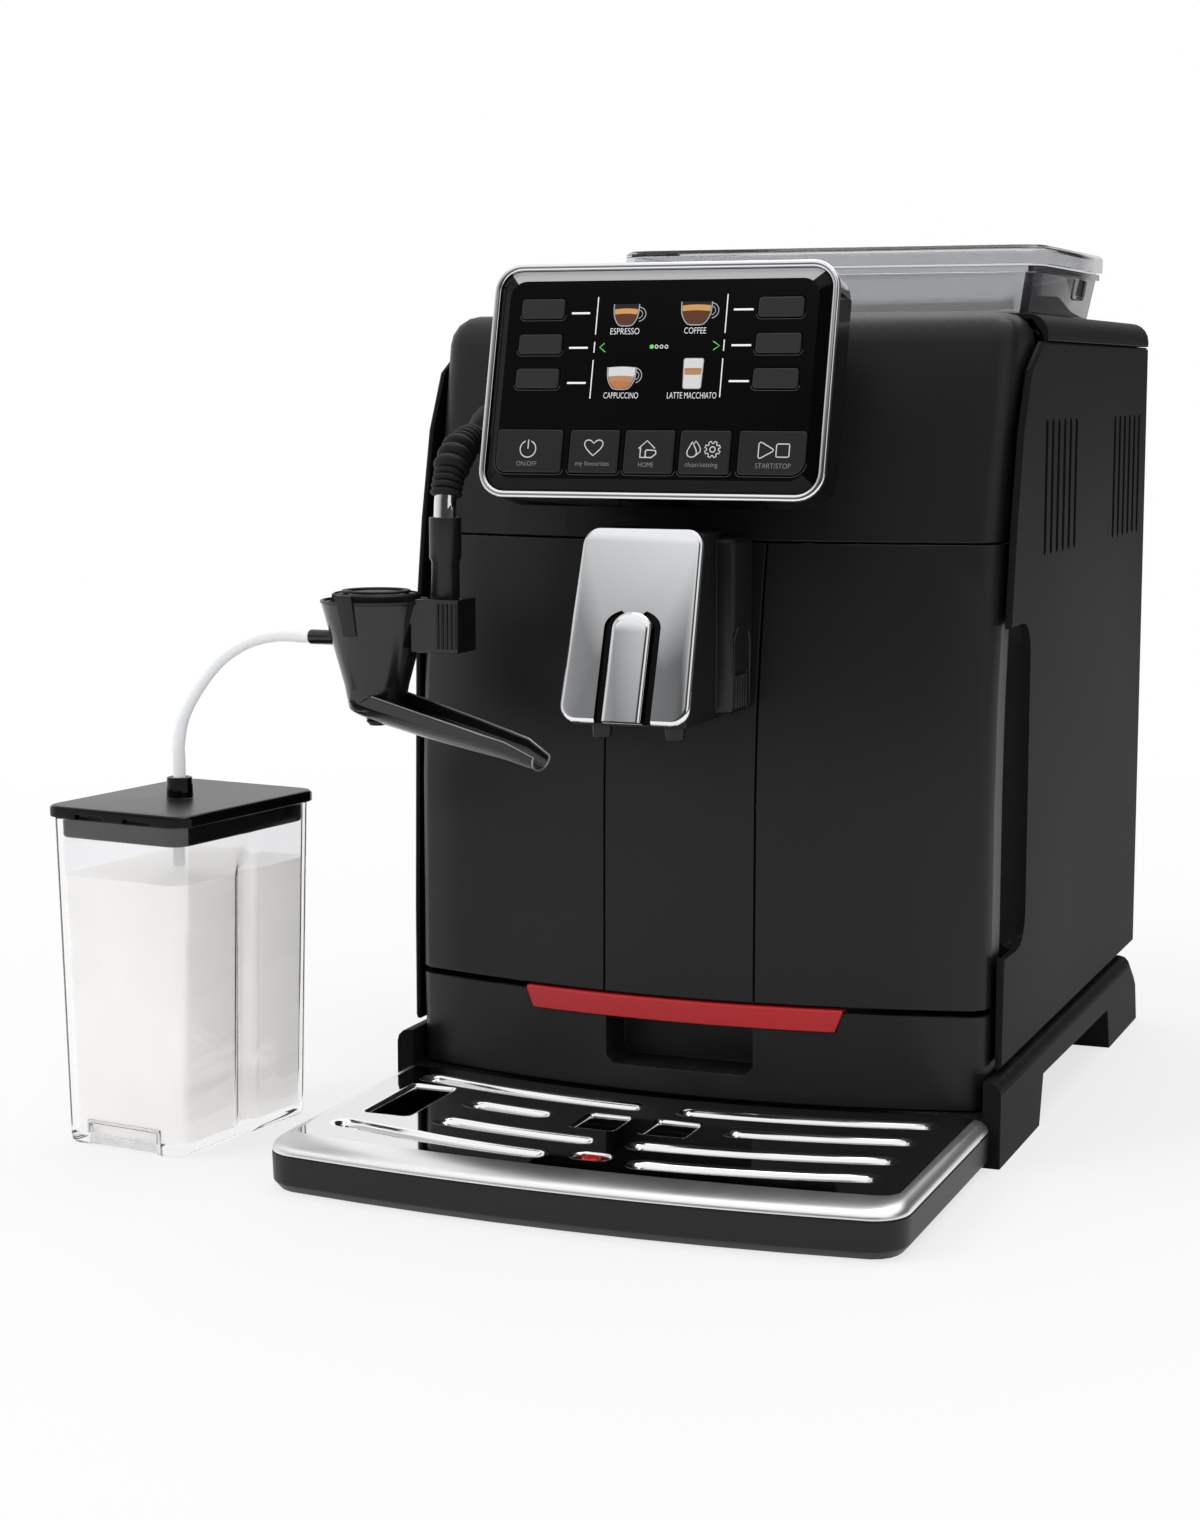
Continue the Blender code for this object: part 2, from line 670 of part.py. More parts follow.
def control_box():
    edge = 0.0004
    front = -FACE_THICK - GAP
    round_back = 0.004
    shrink = 0.0035
    rings = [
        ring(FACE_HALF_X - edge, FACE_HALF_V - edge, FACE_CORNER, front),
        ring(FACE_HALF_X - edge, FACE_HALF_V - edge, FACE_CORNER, -BOX_DEPTH + 2 * round_back),
        ring(FACE_HALF_X - edge - shrink / 3, FACE_HALF_V - edge - shrink / 3, FACE_CORNER, -BOX_DEPTH + round_back),
        ring(FACE_HALF_X - edge - 2 * shrink, FACE_HALF_V - edge - 2 * shrink, FACE_CORNER, -BOX_DEPTH),
    ]
    housing = on_face(loft("control_housing", rings, GLOSS))
    wall = 0.004
    floor = -BOX_DEPTH + 2 * round_back
    pocket_x = FACE_HALF_X - wall
    pocket_v = FACE_HALF_V - wall
    hollow = on_face(loft("control_hollow", [ring(pocket_x, pocket_v, FACE_CORNER - wall / 2, floor),
                                             ring(pocket_x, pocket_v, FACE_CORNER - wall / 2, OVERRUN)]))
    join(housing, control_neck("control_neck", 0))
    cut(housing, hollow)
    lip = 0.0006
    rim = 0.0005
    rings = [
        ring(FACE_HALF_X, FACE_HALF_V, FACE_CORNER, -FACE_THICK),
        ring(FACE_HALF_X, FACE_HALF_V, FACE_CORNER, lip - rim),
        ring(FACE_HALF_X - rim, FACE_HALF_V - rim, FACE_CORNER, lip),
        ring(FACE_HALF_X - BEZEL_WIDTH + rim, FACE_HALF_V - BEZEL_WIDTH + rim, FACE_CORNER - BEZEL_WIDTH, lip),
        ring(FACE_HALF_X - BEZEL_WIDTH, FACE_HALF_V - BEZEL_WIDTH, FACE_CORNER - BEZEL_WIDTH, lip - rim),
        ring(FACE_HALF_X - BEZEL_WIDTH, FACE_HALF_V - BEZEL_WIDTH, FACE_CORNER - BEZEL_WIDTH, -FACE_THICK),
    ]
    on_face(loft("control_bezel", rings, CHROME, closed=True))
    inside_x = FACE_HALF_X - BEZEL_WIDTH - GAP
    inside_v = FACE_HALF_V - BEZEL_WIDTH - GAP
    chamfer = 0.0012
    radius = FACE_CORNER - BEZEL_WIDTH
    face = on_face(loft("control_face", [
        ring(inside_x, inside_v, radius, -FACE_THICK),
        ring(inside_x, inside_v, radius, -chamfer),
        ring(inside_x - 2 * chamfer, inside_v - 2 * chamfer, radius, 0),
    ], GLOSS))
    board_top = -FACE_THICK - GAP - KEY_FLANGE_THICK - KEY_TRAVEL - GAP
    board_thick = 0.0016
    on_face(loft("display_board", [
        ring(pocket_x - GAP, pocket_v - GAP, FACE_CORNER - wall / 2, board_top - board_thick),
        ring(pocket_x - GAP, pocket_v - GAP, FACE_CORNER - wall / 2, board_top),
    ], BOARD))
    keys(face)


SOFT_KEY_X = (0.0393, 0.0572)
SOFT_KEY_ROWS = (("top", 0.0277), ("middle", 0.0138), ("bottom", 0.0003))
SOFT_KEY_HEIGHT = 0.0078
LOW_KEYS = (
    ("power_key", -0.0625, -0.0353), ("favourites_key", -0.0322, -0.0120), ("home_key", -0.0097, 0.0104),
    ("settings_key", 0.0126, 0.0328), ("start_stop_key", 0.0360, 0.0625),
)
LOW_KEY_V = (-0.0366, -0.0198)


def keys(face):
    soft_corner = 0.0012
    low_corner = 0.0024
    spots = []
    for side, sign in (("left", -1), ("right", 1)):
        for row, v in SOFT_KEY_ROWS:
            x = sorted((sign * SOFT_KEY_X[0], sign * SOFT_KEY_X[1]))
            spots.append((f"soft_key_{side}_{row}", x, (v - SOFT_KEY_HEIGHT / 2, v + SOFT_KEY_HEIGHT / 2), soft_corner))
    for name, low, high in LOW_KEYS:
        spots.append((name, (low, high), LOW_KEY_V, low_corner))
    rise = 0.0008
    edge = 0.0005
    for name, x, v, radius in spots:
        centre = ((x[0] + x[1]) / 2, (v[0] + v[1]) / 2)
        half_x = (x[1] - x[0]) / 2
        half_v = (v[1] - v[0]) / 2
        hole = on_face(loft(name + "_hole", [
            ring(half_x + GAP, half_v + GAP, radius, -FACE_THICK - OVERRUN, 2, centre),
            ring(half_x + GAP, half_v + GAP, radius, OVERRUN, 2, centre),
        ]))
        cut(face, hole)
        seat = -FACE_THICK - GAP
        on_face(loft(name, [
            ring(half_x + KEY_FLANGE, half_v + KEY_FLANGE, radius, seat - KEY_FLANGE_THICK, 2, centre),
            ring(half_x + KEY_FLANGE, half_v + KEY_FLANGE, radius, seat, 2, centre),
            ring(half_x, half_v, radius, seat, 2, centre),
            ring(half_x, half_v, radius, rise - edge, 2, centre),
            ring(half_x - edge, half_v - edge, radius, rise, 2, centre),
        ], GREY_KEY))


PLATE_TOP = Vector((0, -0.1173, SPOUT_TOP))
PLATE_LEAN = math.atan2(0.0225, 0.0681)
PLATE = Matrix.Translation(PLATE_TOP) @ Matrix.Rotation(math.radians(90) - PLATE_LEAN, 4, "X")
PLATE_LENGTH = SPOUT_HIGH + 0.0017
PLATE_THICK = 0.0028
SPOUT_BACK = -0.0793
SPOUT_COLUMN_HALF = 0.0308
RAIL_Z = (0.183, 0.240)
RAIL_HEAD = (-0.0955, -0.0905)
RAIL_HEAD_HALF = 0.011
RAIL_POST_HALF = 0.0055


def plate_point(along, out):
    """(y, z) of a point on the spout's leaning plane."""
    spot = PLATE @ Vector((0, along, out))
    return (spot.y, spot.z)


def spout():
    top_half = 0.0242
    taper = SPOUT_HALF - top_half
    corner = 0.007
    outline = []
    for u, v in rounded(SPOUT_HALF, PLATE_LENGTH / 2, corner, 4, (0, -PLATE_LENGTH / 2)):
        outline.append((u * (1 - taper / SPOUT_HALF * (1 + v / PLATE_LENGTH)), v))
    edge = 0.0009
    plate = prism(
        "spout_plate", outline, "XY", (-PLATE_THICK, 0), CHROME, place=PLATE, bevel=edge, segments=2,
        pick=lambda middle, way: (PLATE.inverted() @ middle).z > -edge,
    )
    ridge_half = 0.0088
    ridge_top = -0.0395
    ridge_rise = 0.0024
    arch = [(ridge_half * math.cos(math.radians(a)), ridge_top + ridge_half * math.sin(math.radians(a)) * 0.7)
            for a in range(0, 181, 20)]
    foot = -PLATE_LENGTH + 2 * GAP
    ridge = prism(
        "spout_ridge", [(ridge_half, foot)] + arch + [(-ridge_half, foot)], "XY", (-PLATE_THICK / 2, ridge_rise),
        place=PLATE,
    )
    channel = 0.0026
    depth = PLATE_THICK * 0.55
    grooves = []
    for sign in (-1, 1):
        inner = sign * ridge_half
        outer = sign * (ridge_half + channel)
        tip = ridge_top + channel
        grooves.append(prism(
            "spout_groove", [(inner, -PLATE_LENGTH - OVERRUN), (outer, -PLATE_LENGTH - OVERRUN), (outer, tip - channel),
                             (inner, tip)],
            "XY", (-depth, OVERRUN), place=PLATE,
        ))
    cut(plate, *grooves)
    join(plate, ridge)

    seat = -PLATE_THICK - GAP
    upper = 0.0012
    lower = PLATE_LENGTH - 0.0035
    undercut = 0.004
    front_depth = 0.012
    front_inset = 0.0006
    front_bevel = 0.0016
    rear = SPOUT_BACK - front_depth
    outline = [
        plate_point(-upper, seat), plate_point(-lower, seat), (plate_point(-lower, seat)[0] + undercut, SPOUT_FOOT),
        (rear, SPOUT_FOOT), (rear, SPOUT_TOP - upper),
    ]
    front_half = top_half - front_inset
    body = prism(
        "spout_body", outline, "YZ", (-front_half, front_half), GLOSS, bevel=front_bevel, segments=2,
        pick=lambda middle, way: abs(way.x) < 0.5 and abs(middle.x) > front_half * 0.99,
    )
    column_depth = 0.022
    column_step = 0.002
    column_bevel = 0.003
    column = box(
        "spout_column", (-SPOUT_COLUMN_HALF, SPOUT_COLUMN_HALF), (SPOUT_BACK - column_depth, SPOUT_BACK),
        (SPOUT_FOOT + column_step, SPOUT_TOP - 2 * column_step), bevel=column_bevel, segments=2,
        pick=lambda middle, way: middle.y < SPOUT_BACK - column_bevel,
    )
    join(body, column)
    bore = 0.0016
    tip_radius = 0.0036
    root_radius = 0.0046
    sunk = 0.003
    bore_length = 0.016
    for sign in (-1, 1):
        nozzle = cylinder("nozzle", (sign * NOZZLE_X, NOZZLE_Y, NOZZLE_TIP), SPOUT_FOOT - NOZZLE_TIP + sunk, tip_radius,
                          tip=root_radius, segments=20)
        join(body, nozzle)
    for sign in (-1, 1):
        hole = cylinder("nozzle_bore", (sign * NOZZLE_X, NOZZLE_Y, NOZZLE_TIP - OVERRUN), bore_length, bore, segments=12)
        cut(body, hole)
    z = (SPOUT_FOOT - OVERRUN, SPOUT_TOP + OVERRUN)
    cut(
        body,
        box("rail_head_channel", (-RAIL_HEAD_HALF - RUN, RAIL_HEAD_HALF + RUN), (RAIL_HEAD[0] - RUN, RAIL_HEAD[1] + RUN), z),
        box("rail_post_channel", (-RAIL_POST_HALF - RUN, RAIL_POST_HALF + RUN), (RAIL_HEAD[1], SPOUT_BACK + OVERRUN), z),
    )
    grips(body)
    heights = steps_between(RAIL_Z[0], RAIL_Z[1], 4)
    back = [(front_y(0, z) - GAP, z) for z in heights]
    front = (RAIL_HEAD[0] + RAIL_HEAD[1]) / 2
    rail = prism("spout_rail", back + [(front, RAIL_Z[1]), (front, RAIL_Z[0])], "YZ",
                 (-RAIL_POST_HALF, RAIL_POST_HALF), DARK)
    join(rail, box("rail_head", (-RAIL_HEAD_HALF, RAIL_HEAD_HALF), RAIL_HEAD, RAIL_Z))


def grips(body):
    """Ribbed finger grips low on both sides of the spout."""
    ribs = 5
    pitch = 0.0030
    rise = 0.0012
    low = 0.1805
    high = 0.1935
    back = SPOUT_BACK - pitch
    for sign in (-1, 1):
        side = sign * (SPOUT_COLUMN_HALF - rise)
        outline = [(side - sign * rise, back), (side, back)]
        for i in range(ribs):
            outline.append((side + sign * rise * 0.8, back - pitch * (i + 0.3)))
            outline.append((side + sign * rise * 0.8, back - pitch * (i + 0.6)))
            outline.append((side, back - pitch * (i + 0.95)))
        outline.append((side - sign * rise, back - pitch * (ribs + 0.2)))
        cut(body, box("grip_recess", tuple(sorted((side, side + sign * OVERRUN))),
                      (back - pitch * (ribs + 0.4), back + pitch * 0.2), (low - rise, high + rise)))
        join(body, prism("grip_ribs", outline, "XY", (low, high)))


TRAY_REAR = PLINTH_FRONT - RUN
TRAY_FLOOR = 0.003


def tray_outline(inset, rear=None, corner=5, across=8):
    """The tray seen from above, anticlockwise from its rear right corner; rear gives the rear edge as a curve."""
    half = TRAY_HALF - inset
    radius = TRAY_CORNER - inset
    flat = TRAY_HALF - TRAY_CORNER
    shoulder = TRAY_FRONT + TRAY_BOW * (flat / TRAY_HALF) ** 2
    points = []
    for i in range(across + 1):
        x = half - 2 * half * i / across
        points.append((x, TRAY_REAR - inset if rear is None else rear(x) - inset))
    for i in range(corner + 1):
        angle = math.radians(180 + 90 * i / corner)
        points.append((-flat + radius * math.cos(angle), shoulder + TRAY_CORNER + radius * math.sin(angle)))
    for i in range(1, across):
        x = -flat + 2 * flat * i / across
        points.append((x, TRAY_FRONT + TRAY_BOW * (x / TRAY_HALF) ** 2 + inset))
    for i in range(corner + 1):
        angle = math.radians(270 + 90 * i / corner)
        points.append((flat + radius * math.cos(angle), shoulder + TRAY_CORNER + radius * math.sin(angle)))
    return points


def at_height(outline, z):
    return [(x, y, z) for x, y in outline]


def drip_tray():
    wall = 0.0026
    rim = TRAY_HEIGHT - GAP
    foot = 0.0035
    tray = loft("drip_tray", [
        at_height(tray_outline(foot), 0),
        at_height(tray_outline(foot / 8), foot),
        at_height(tray_outline(0), rim),
        at_height(tray_outline(wall), rim),
        at_height(tray_outline(wall + foot / 3), TRAY_FLOOR),
    ], BLACK)
    for sign in (-1, 1):
        x = sign * TONGUE["x"]
        join(tray, box("tray_tongue", (x - TONGUE["half"], x + TONGUE["half"]),
                       (TRAY_REAR - wall / 2, PLINTH_FRONT + TONGUE["reach"]), (TONGUE["low"], TONGUE["high"])))

    def rear(x):
        """Clear of the red strip, so that the cover lifts straight up in front of it."""
        limit = FRONT_HALF - FRONT_CORNER
        return min(TRAY_REAR - RUN, front_y(max(-limit, min(limit, x)), STRIP_HIGH) - STRIP_PROUD - RUN)

    lip = 0.0018
    cover = loft("tray_cover", [
        at_height(tray_outline(GAP, rear), TRAY_HEIGHT),
        at_height(tray_outline(GAP, rear), COVER_TOP - lip),
        at_height(tray_outline(lip / 2, rear), COVER_TOP - lip / 3),
        at_height(tray_outline(lip * 1.6, rear), COVER_TOP),
    ], STEEL)
    thickness = 0.0018
    skirt = 0.0022
    hollow = loft("cover_hollow", [
        at_height(tray_outline(skirt, rear), TRAY_HEIGHT - OVERRUN),
        at_height(tray_outline(skirt, rear), COVER_TOP - thickness),
    ])
    cut(cover, hollow)
    cover_slots(cover)
    float_radius = 0.0036
    hole_half = (0.0072, 0.0046)
    spot = (0, FLOAT_Y)
    cut(cover, prism("float_hole", [(spot[0] + u, spot[1] + v) for u, v in rounded(*hole_half, hole_half[1] * 0.98, 4)],
                     "XY", (TRAY_HEIGHT - OVERRUN, COVER_TOP + OVERRUN)))
    turned("tray_float", [
        (0, COVER_TOP - GAP), (float_radius * 0.8, COVER_TOP - GAP), (float_radius, COVER_TOP - 3 * GAP),
        (float_radius, TRAY_HEIGHT - 3 * lip), (float_radius * 2.6, TRAY_HEIGHT - 3.2 * lip),
        (float_radius * 2.6, TRAY_FLOOR + GAP), (0, TRAY_FLOOR + GAP),
    ], (spot[0], spot[1], 0), RED, steps=20)


FLOAT_Y = -0.172
FIELD = TRAY_FRONT - FRONT_Y  # from the front's foremost line to the tray's
SLOT_HALF = 0.0048
WINDOW_CORNER = 0.0021
SLOT_ROW_SHARES = (
    (0.161, ((-0.873, -0.040), (0.055, 0.873))),
    (0.357, ((-0.603, -0.278), (0.274, 0.865))),
    (0.576, ((-0.611, -0.040), (0.048, 0.865))),
    (0.769, ((-0.897, -0.124), (0.119, 0.865))),
)
WINDOW_SHARES = (((-0.857, -0.698), (0.145, 0.522)), ((-0.188, -0.040), (0.270, 0.451)), ((0.038, 0.190), (0.270, 0.451)))


def cover_slots(cover):
    """Rows of slots that follow the front's curve, and three larger openings for cup stands and pouring."""
    z = (TRAY_HEIGHT - OVERRUN, COVER_TOP + OVERRUN)
    parts = 6
    for row, (share, spans) in enumerate(SLOT_ROW_SHARES):
        for low, high in spans:
            xs = steps_between(low * TRAY_HALF + SLOT_HALF, high * TRAY_HALF - SLOT_HALF, parts)
            middle = [(x, FRONT_Y + FIELD * share + FRONT_BOW * (x / FRONT_HALF) ** 2) for x in xs]
            front = [(x, y - SLOT_HALF) for x, y in middle]
            back = [(x, y + SLOT_HALF) for x, y in reversed(middle)]
            turns = [math.radians(angle) for angle in (-54, -18, 18, 54)]
            right = [(middle[-1][0] + SLOT_HALF * math.cos(a), middle[-1][1] + SLOT_HALF * math.sin(a)) for a in turns]
            left = [(middle[0][0] - SLOT_HALF * math.cos(a), middle[0][1] - SLOT_HALF * math.sin(a)) for a in turns]
            cut(cover, prism(f"slot_{row}", front + right + back + left, "XY", z))
    for low_high, depth in WINDOW_SHARES:
        x = [TRAY_HALF * share for share in low_high]
        y = [FRONT_Y + FIELD * share for share in depth]
        window = rounded((x[1] - x[0]) / 2, abs(y[1] - y[0]) / 2, WINDOW_CORNER, 2, ((x[0] + x[1]) / 2, (y[0] + y[1]) / 2))
        cut(cover, prism("cover_window", window, "XY", z))


def drawer():
    """The drawer's front with its finger pocket and side arms, the red strip and the grounds bin."""
    left = plan_points(0, -FRONT_HALF, 5)[1:]
    columns = plan_points(0, FRONT_HALF, 5) + left
    front = front_shell("drawer_front", columns, steps_between(DRAWER_BOTTOM, DRAWER_TOP, 3), BLACK)
    strip_low = 0.051
    strip_high = STRIP_HIGH
    strip_top_half = 0.0675
    strip_low_half = 0.0644
    pocket_half = 0.0312
    pocket_low = 0.031
    pocket_back = -0.056
    wall = 0.0022
    arm_half = 0.1105
    arm = 0.003
    y_arm = front_y(arm_half, PLINTH_FLOOR) + wall / 2
    pocket_front = front_y(pocket_half, pocket_low) + WALL / 2
    rim = strip_low - GAP
    join(front, box("finger_pocket", (-pocket_half - wall, pocket_half + wall), (pocket_front, pocket_back + wall),
                    (pocket_low - wall, rim)))
    for sign in (-1, 1):
        x = sorted((sign * arm_half, sign * (arm_half - arm)))
        join(front, box("drawer_arm", x, (y_arm, BIN_REAR), (PLINTH_FLOOR + RUN, PLINTH_FLOOR + 2 * arm)))
    hollow = prism(
        "finger_hollow",
        [(pocket_half, rim + OVERRUN), (-pocket_half, rim + OVERRUN), (-pocket_half, pocket_low + arm),
         (-pocket_half + arm, pocket_low), (pocket_half - arm, pocket_low), (pocket_half, pocket_low + arm)],
        "XZ", (FRONT_Y - OVERRUN, pocket_back),
    )
    notch = prism(
        "strip_notch",
        [(strip_low_half + GAP, strip_low - GAP), (strip_top_half + GAP, strip_high),
         (strip_top_half + GAP, strip_high + OVERRUN), (-strip_top_half - GAP, strip_high + OVERRUN),
         (-strip_top_half - GAP, strip_high), (-strip_low_half - GAP, strip_low - GAP)],
        "XZ", (FRONT_Y - OVERRUN, pocket_back + 2 * OVERRUN),
    )
    cut(front, hollow, notch)
    xs = steps_between(-1, 1, 10)
    proud = STRIP_PROUD
    thick = 0.006
    rings = []
    for share in xs:
        ring_points = []
        for y_off, z, half in ((-proud, strip_low, strip_low_half), (thick, strip_low, strip_low_half),
                               (thick, strip_high, strip_top_half), (-proud * 0.3, strip_high, strip_top_half),
                               (-proud, strip_high - proud, strip_top_half)):
            x = share * half
            ring_points.append((x, front_y(x, z) + y_off, z))
        rings.append(ring_points)
    loft("drawer_strip", rings, RED)
    half = arm_half - arm - RUN
    bin_front = pocket_back + wall + RUN
    bin_wall = 0.002
    low = PLINTH_FLOOR + GAP
    head_room = 0.0015
    high = DRAWER_TOP - head_room
    centre = (0, (bin_front + BIN_REAR) / 2)
    half_y = (BIN_REAR - bin_front) / 2
    draft = 0.0015
    corner = 0.008
    loft("grounds_bin", [
        ring(half - draft, half_y - draft, corner, low, 3, centre),
        ring(half, half_y, corner, high, 3, centre),
        ring(half - bin_wall, half_y - bin_wall, corner, high, 3, centre),
        ring(half - draft - bin_wall, half_y - draft - bin_wall, corner, low + bin_wall, 3, centre),
    ], DARK)


BIN_REAR = 0.150


TANK_X = (0.0365, 0.112)
TANK_REAR = 0.1035
TANK_TOP = 0.238
TANK_CORNER = 0.010
GRINDER = Vector((0.064, 0.140, 0.0))


def tank_ring(z, inset, height, draft=0.0):
    """A section of the tank whose front edge follows the machine's front at the given height."""
    left = TANK_X[0] + inset + draft
    right = TANK_X[1] - inset - draft
    rear = TANK_REAR - inset - draft
    corner = TANK_CORNER - inset
    across = 5
    points = []
    for x in steps_between(left, right - corner, across):
        points.append((x, front_y(x, z) + WALL + 2 * GAP + inset, height))
    front_right = front_y(right, z) + WALL + 2 * GAP + inset
    points.append((right, front_right + corner, height))
    for angle in (0, 45, 90):
        turn = math.radians(angle)
        points.append((right - corner + corner * math.cos(turn), rear - corner + corner * math.sin(turn), height))
    for angle in (90, 135, 180):
        turn = math.radians(angle)
        points.append((left + corner + corner * math.cos(turn), rear - corner + corner * math.sin(turn), height))
    return points


def water_tank(deck):
    wall = 0.0022
    low = deck + RUN
    draft = 0.002
    bends = [0.150, 0.200]  # where the front starts to lean back
    levels = [low, *bends, TANK_TOP]
    outer = [tank_ring(z, 0, z, draft * (TANK_TOP - z) / TANK_TOP) for z in levels]
    inner = [tank_ring(z, wall, max(z, low + wall), draft * (TANK_TOP - z) / TANK_TOP) for z in levels[::-1]]
    tank = loft("water_tank", outer + inner, SMOKE)
    radius = 0.007
    length = 0.005
    spigot = cylinder("tank_spigot", ((TANK_X[0] + TANK_X[1]) / 2, TANK_REAR - draft - wall / 2, low + 2 * radius),
                      length, radius, axis="Y", tip=radius * 0.7, segments=20)
    join(tank, spigot)


def hopper():
    wall = 0.0022
    well_x, well_y, well_half_x, well_half_y = HOPPER_WELL
    middle = ((HOPPER_X[0] + HOPPER_X[1]) / 2, (HOPPER_Y[0] + HOPPER_Y[1]) / 2)
    half_x = (HOPPER_X[1] - HOPPER_X[0]) / 2
    half_y = (HOPPER_Y[1] - HOPPER_Y[0]) / 2
    throat = 0.019
    throat_low = 0.2865
    throat_high = 0.294
    bowl_low = 0.316
    seat = BODY_TOP + GAP
    taper = 0.006
    rim = 0.0012
    flange = 0.003
    corner = HOPPER_CORNER
    spot = (GRINDER.x, GRINDER.y)
    well = (well_x, well_y)
    rise = wall
    rings = [
        ring(throat, throat, throat * 0.99, throat_low, 3, spot),
        ring(throat, throat, throat * 0.99, throat_high, 3, spot),
        ring(well_half_x, well_half_y, corner, bowl_low, 3, well),
        ring(well_half_x, well_half_y, corner, seat, 3, well),
        ring(half_x - taper, half_y - taper, corner, seat, 3, middle),
        ring(half_x - rim - flange / 2, half_y - rim - flange / 2, corner, HOPPER_RIM - flange, 3, middle),
        ring(half_x - rim, half_y - rim, corner, HOPPER_RIM - flange, 3, middle),
        ring(half_x - rim, half_y - rim, corner, HOPPER_RIM - GAP, 3, middle),
        ring(half_x - rim - flange, half_y - rim - flange, corner, HOPPER_RIM - GAP, 3, middle),
        ring(half_x - taper - wall, half_y - taper - wall, corner, seat + rise, 3, middle),
        ring(well_half_x - wall, well_half_y - wall, corner, seat + rise, 3, well),
        ring(well_half_x - wall, well_half_y - wall, corner, bowl_low + rise, 3, well),
        ring(throat - wall, throat - wall, (throat - wall) * 0.99, throat_high + rise, 3, spot),
        ring(throat - wall, throat - wall, (throat - wall) * 0.99, throat_low, 3, spot),
    ]
    bowl = loft("bean_hopper", rings, SMOKE, closed=True)
    knob_spot = Vector((-0.040, 0.118, 0))
    boss_top = 0.322
    boss_low = 0.306
    boss_radius = 0.014
    stem = 0.003
    stem_length = 0.010
    join(bowl, cylinder("knob_boss", knob_spot + Vector((0, 0, boss_low)), boss_top - boss_low, boss_radius))
    cut(bowl, cylinder("knob_bore", knob_spot + Vector((0, 0, boss_top - stem_length - RUN)),
                       stem_length + OVERRUN, stem + RUN, segments=16))
    knob_height = 0.012
    knob = turned("grind_knob", [
        (0, knob_height), (boss_radius * 0.62, knob_height), (boss_radius * 0.72, knob_height * 0.8),
        (boss_radius * 0.78, 0), (stem, 0), (stem, -stem_length), (0, -stem_length),
    ], knob_spot + Vector((0, 0, boss_top + GAP)), DARK, steps=24)
    for i in range(8):
        angle = math.radians(360) * i / 8
        flute = cylinder(
            f"knob_flute_{i}",
            knob_spot + Vector((math.cos(angle), math.sin(angle), 0)) * boss_radius * 0.86
            + Vector((0, 0, boss_top + knob_height * 0.25)),
            knob_height + OVERRUN, boss_radius * 0.18, segments=10,
        )
        cut(knob, flute)
    edge = 0.0015
    lid_wall = 0.0024
    loft("hopper_lid", [
        ring(half_x - lid_wall, half_y - lid_wall, corner, LID_TOP - lid_wall, 3, middle),
        ring(half_x - lid_wall, half_y - lid_wall, corner, HOPPER_RIM + GAP, 3, middle),
        ring(half_x, half_y, corner, HOPPER_RIM + GAP, 3, middle),
        ring(half_x, half_y, corner, LID_TOP - edge, 3, middle),
        ring(half_x - edge, half_y - edge, corner, LID_TOP, 3, middle),
    ], SMOKE)


def grinder():
    body_radius = 0.026
    motor_radius = 0.022
    split = 0.240
    top = 0.2858
    cavity = 0.0155
    floor = 0.2620
    spindle = 0.004
    spindle_length = 0.012
    burr_height = 0.018
    turned("grinder", [
        (0, floor - spindle_length - RUN), (spindle + RUN, floor - spindle_length - RUN), (spindle + RUN, floor),
        (cavity, floor), (cavity, top), (body_radius, top), (body_radius, split + spindle),
        (motor_radius, split), (motor_radius, BENCH_TOP + 2 * spindle), (motor_radius * 1.15, BENCH_TOP + spindle),
        (motor_radius * 1.15, BENCH_TOP + GAP), (0, BENCH_TOP + GAP),
    ], GRINDER, METAL)
    burr = turned("grinder_burr", [
        (0, floor + burr_height), (cavity * 0.35, floor + burr_height), (cavity * 0.93, floor + spindle),
        (cavity * 0.93, floor + GAP), (spindle, floor + GAP), (spindle, floor - spindle_length), (0, floor - spindle_length),
    ], GRINDER, STEEL, steps=16)
    teeth = 8
    for i in range(teeth):
        angle = math.radians(360) * i / teeth
        groove = box(f"burr_groove_{i}", (cavity * 0.55, cavity * 1.2), (-spindle / 4, spindle / 4),
                     (2 * GAP, burr_height + GAP))
        groove.matrix_world = (
            Matrix.Translation(GRINDER + Vector((0, 0, floor))) @ Matrix.Rotation(angle, 4, "Z")
            @ Matrix.Rotation(math.radians(12), 4, "X")
        )
        cut(burr, groove)


BREW = Vector((-0.074, 0.0, 0.0))
GEAR_RADIUS = 0.018


def gear_outline(radius, teeth, depth, centre):
    points = []
    for i in range(teeth):
        for share, reach in ((0.0, radius - depth), (0.28, radius - depth), (0.42, radius), (0.62, radius), (0.76, radius - depth)):
            angle = math.radians(360) * (i + share) / teeth
            points.append((centre[0] + reach * math.cos(angle), centre[1] + reach * math.sin(angle)))
    return points


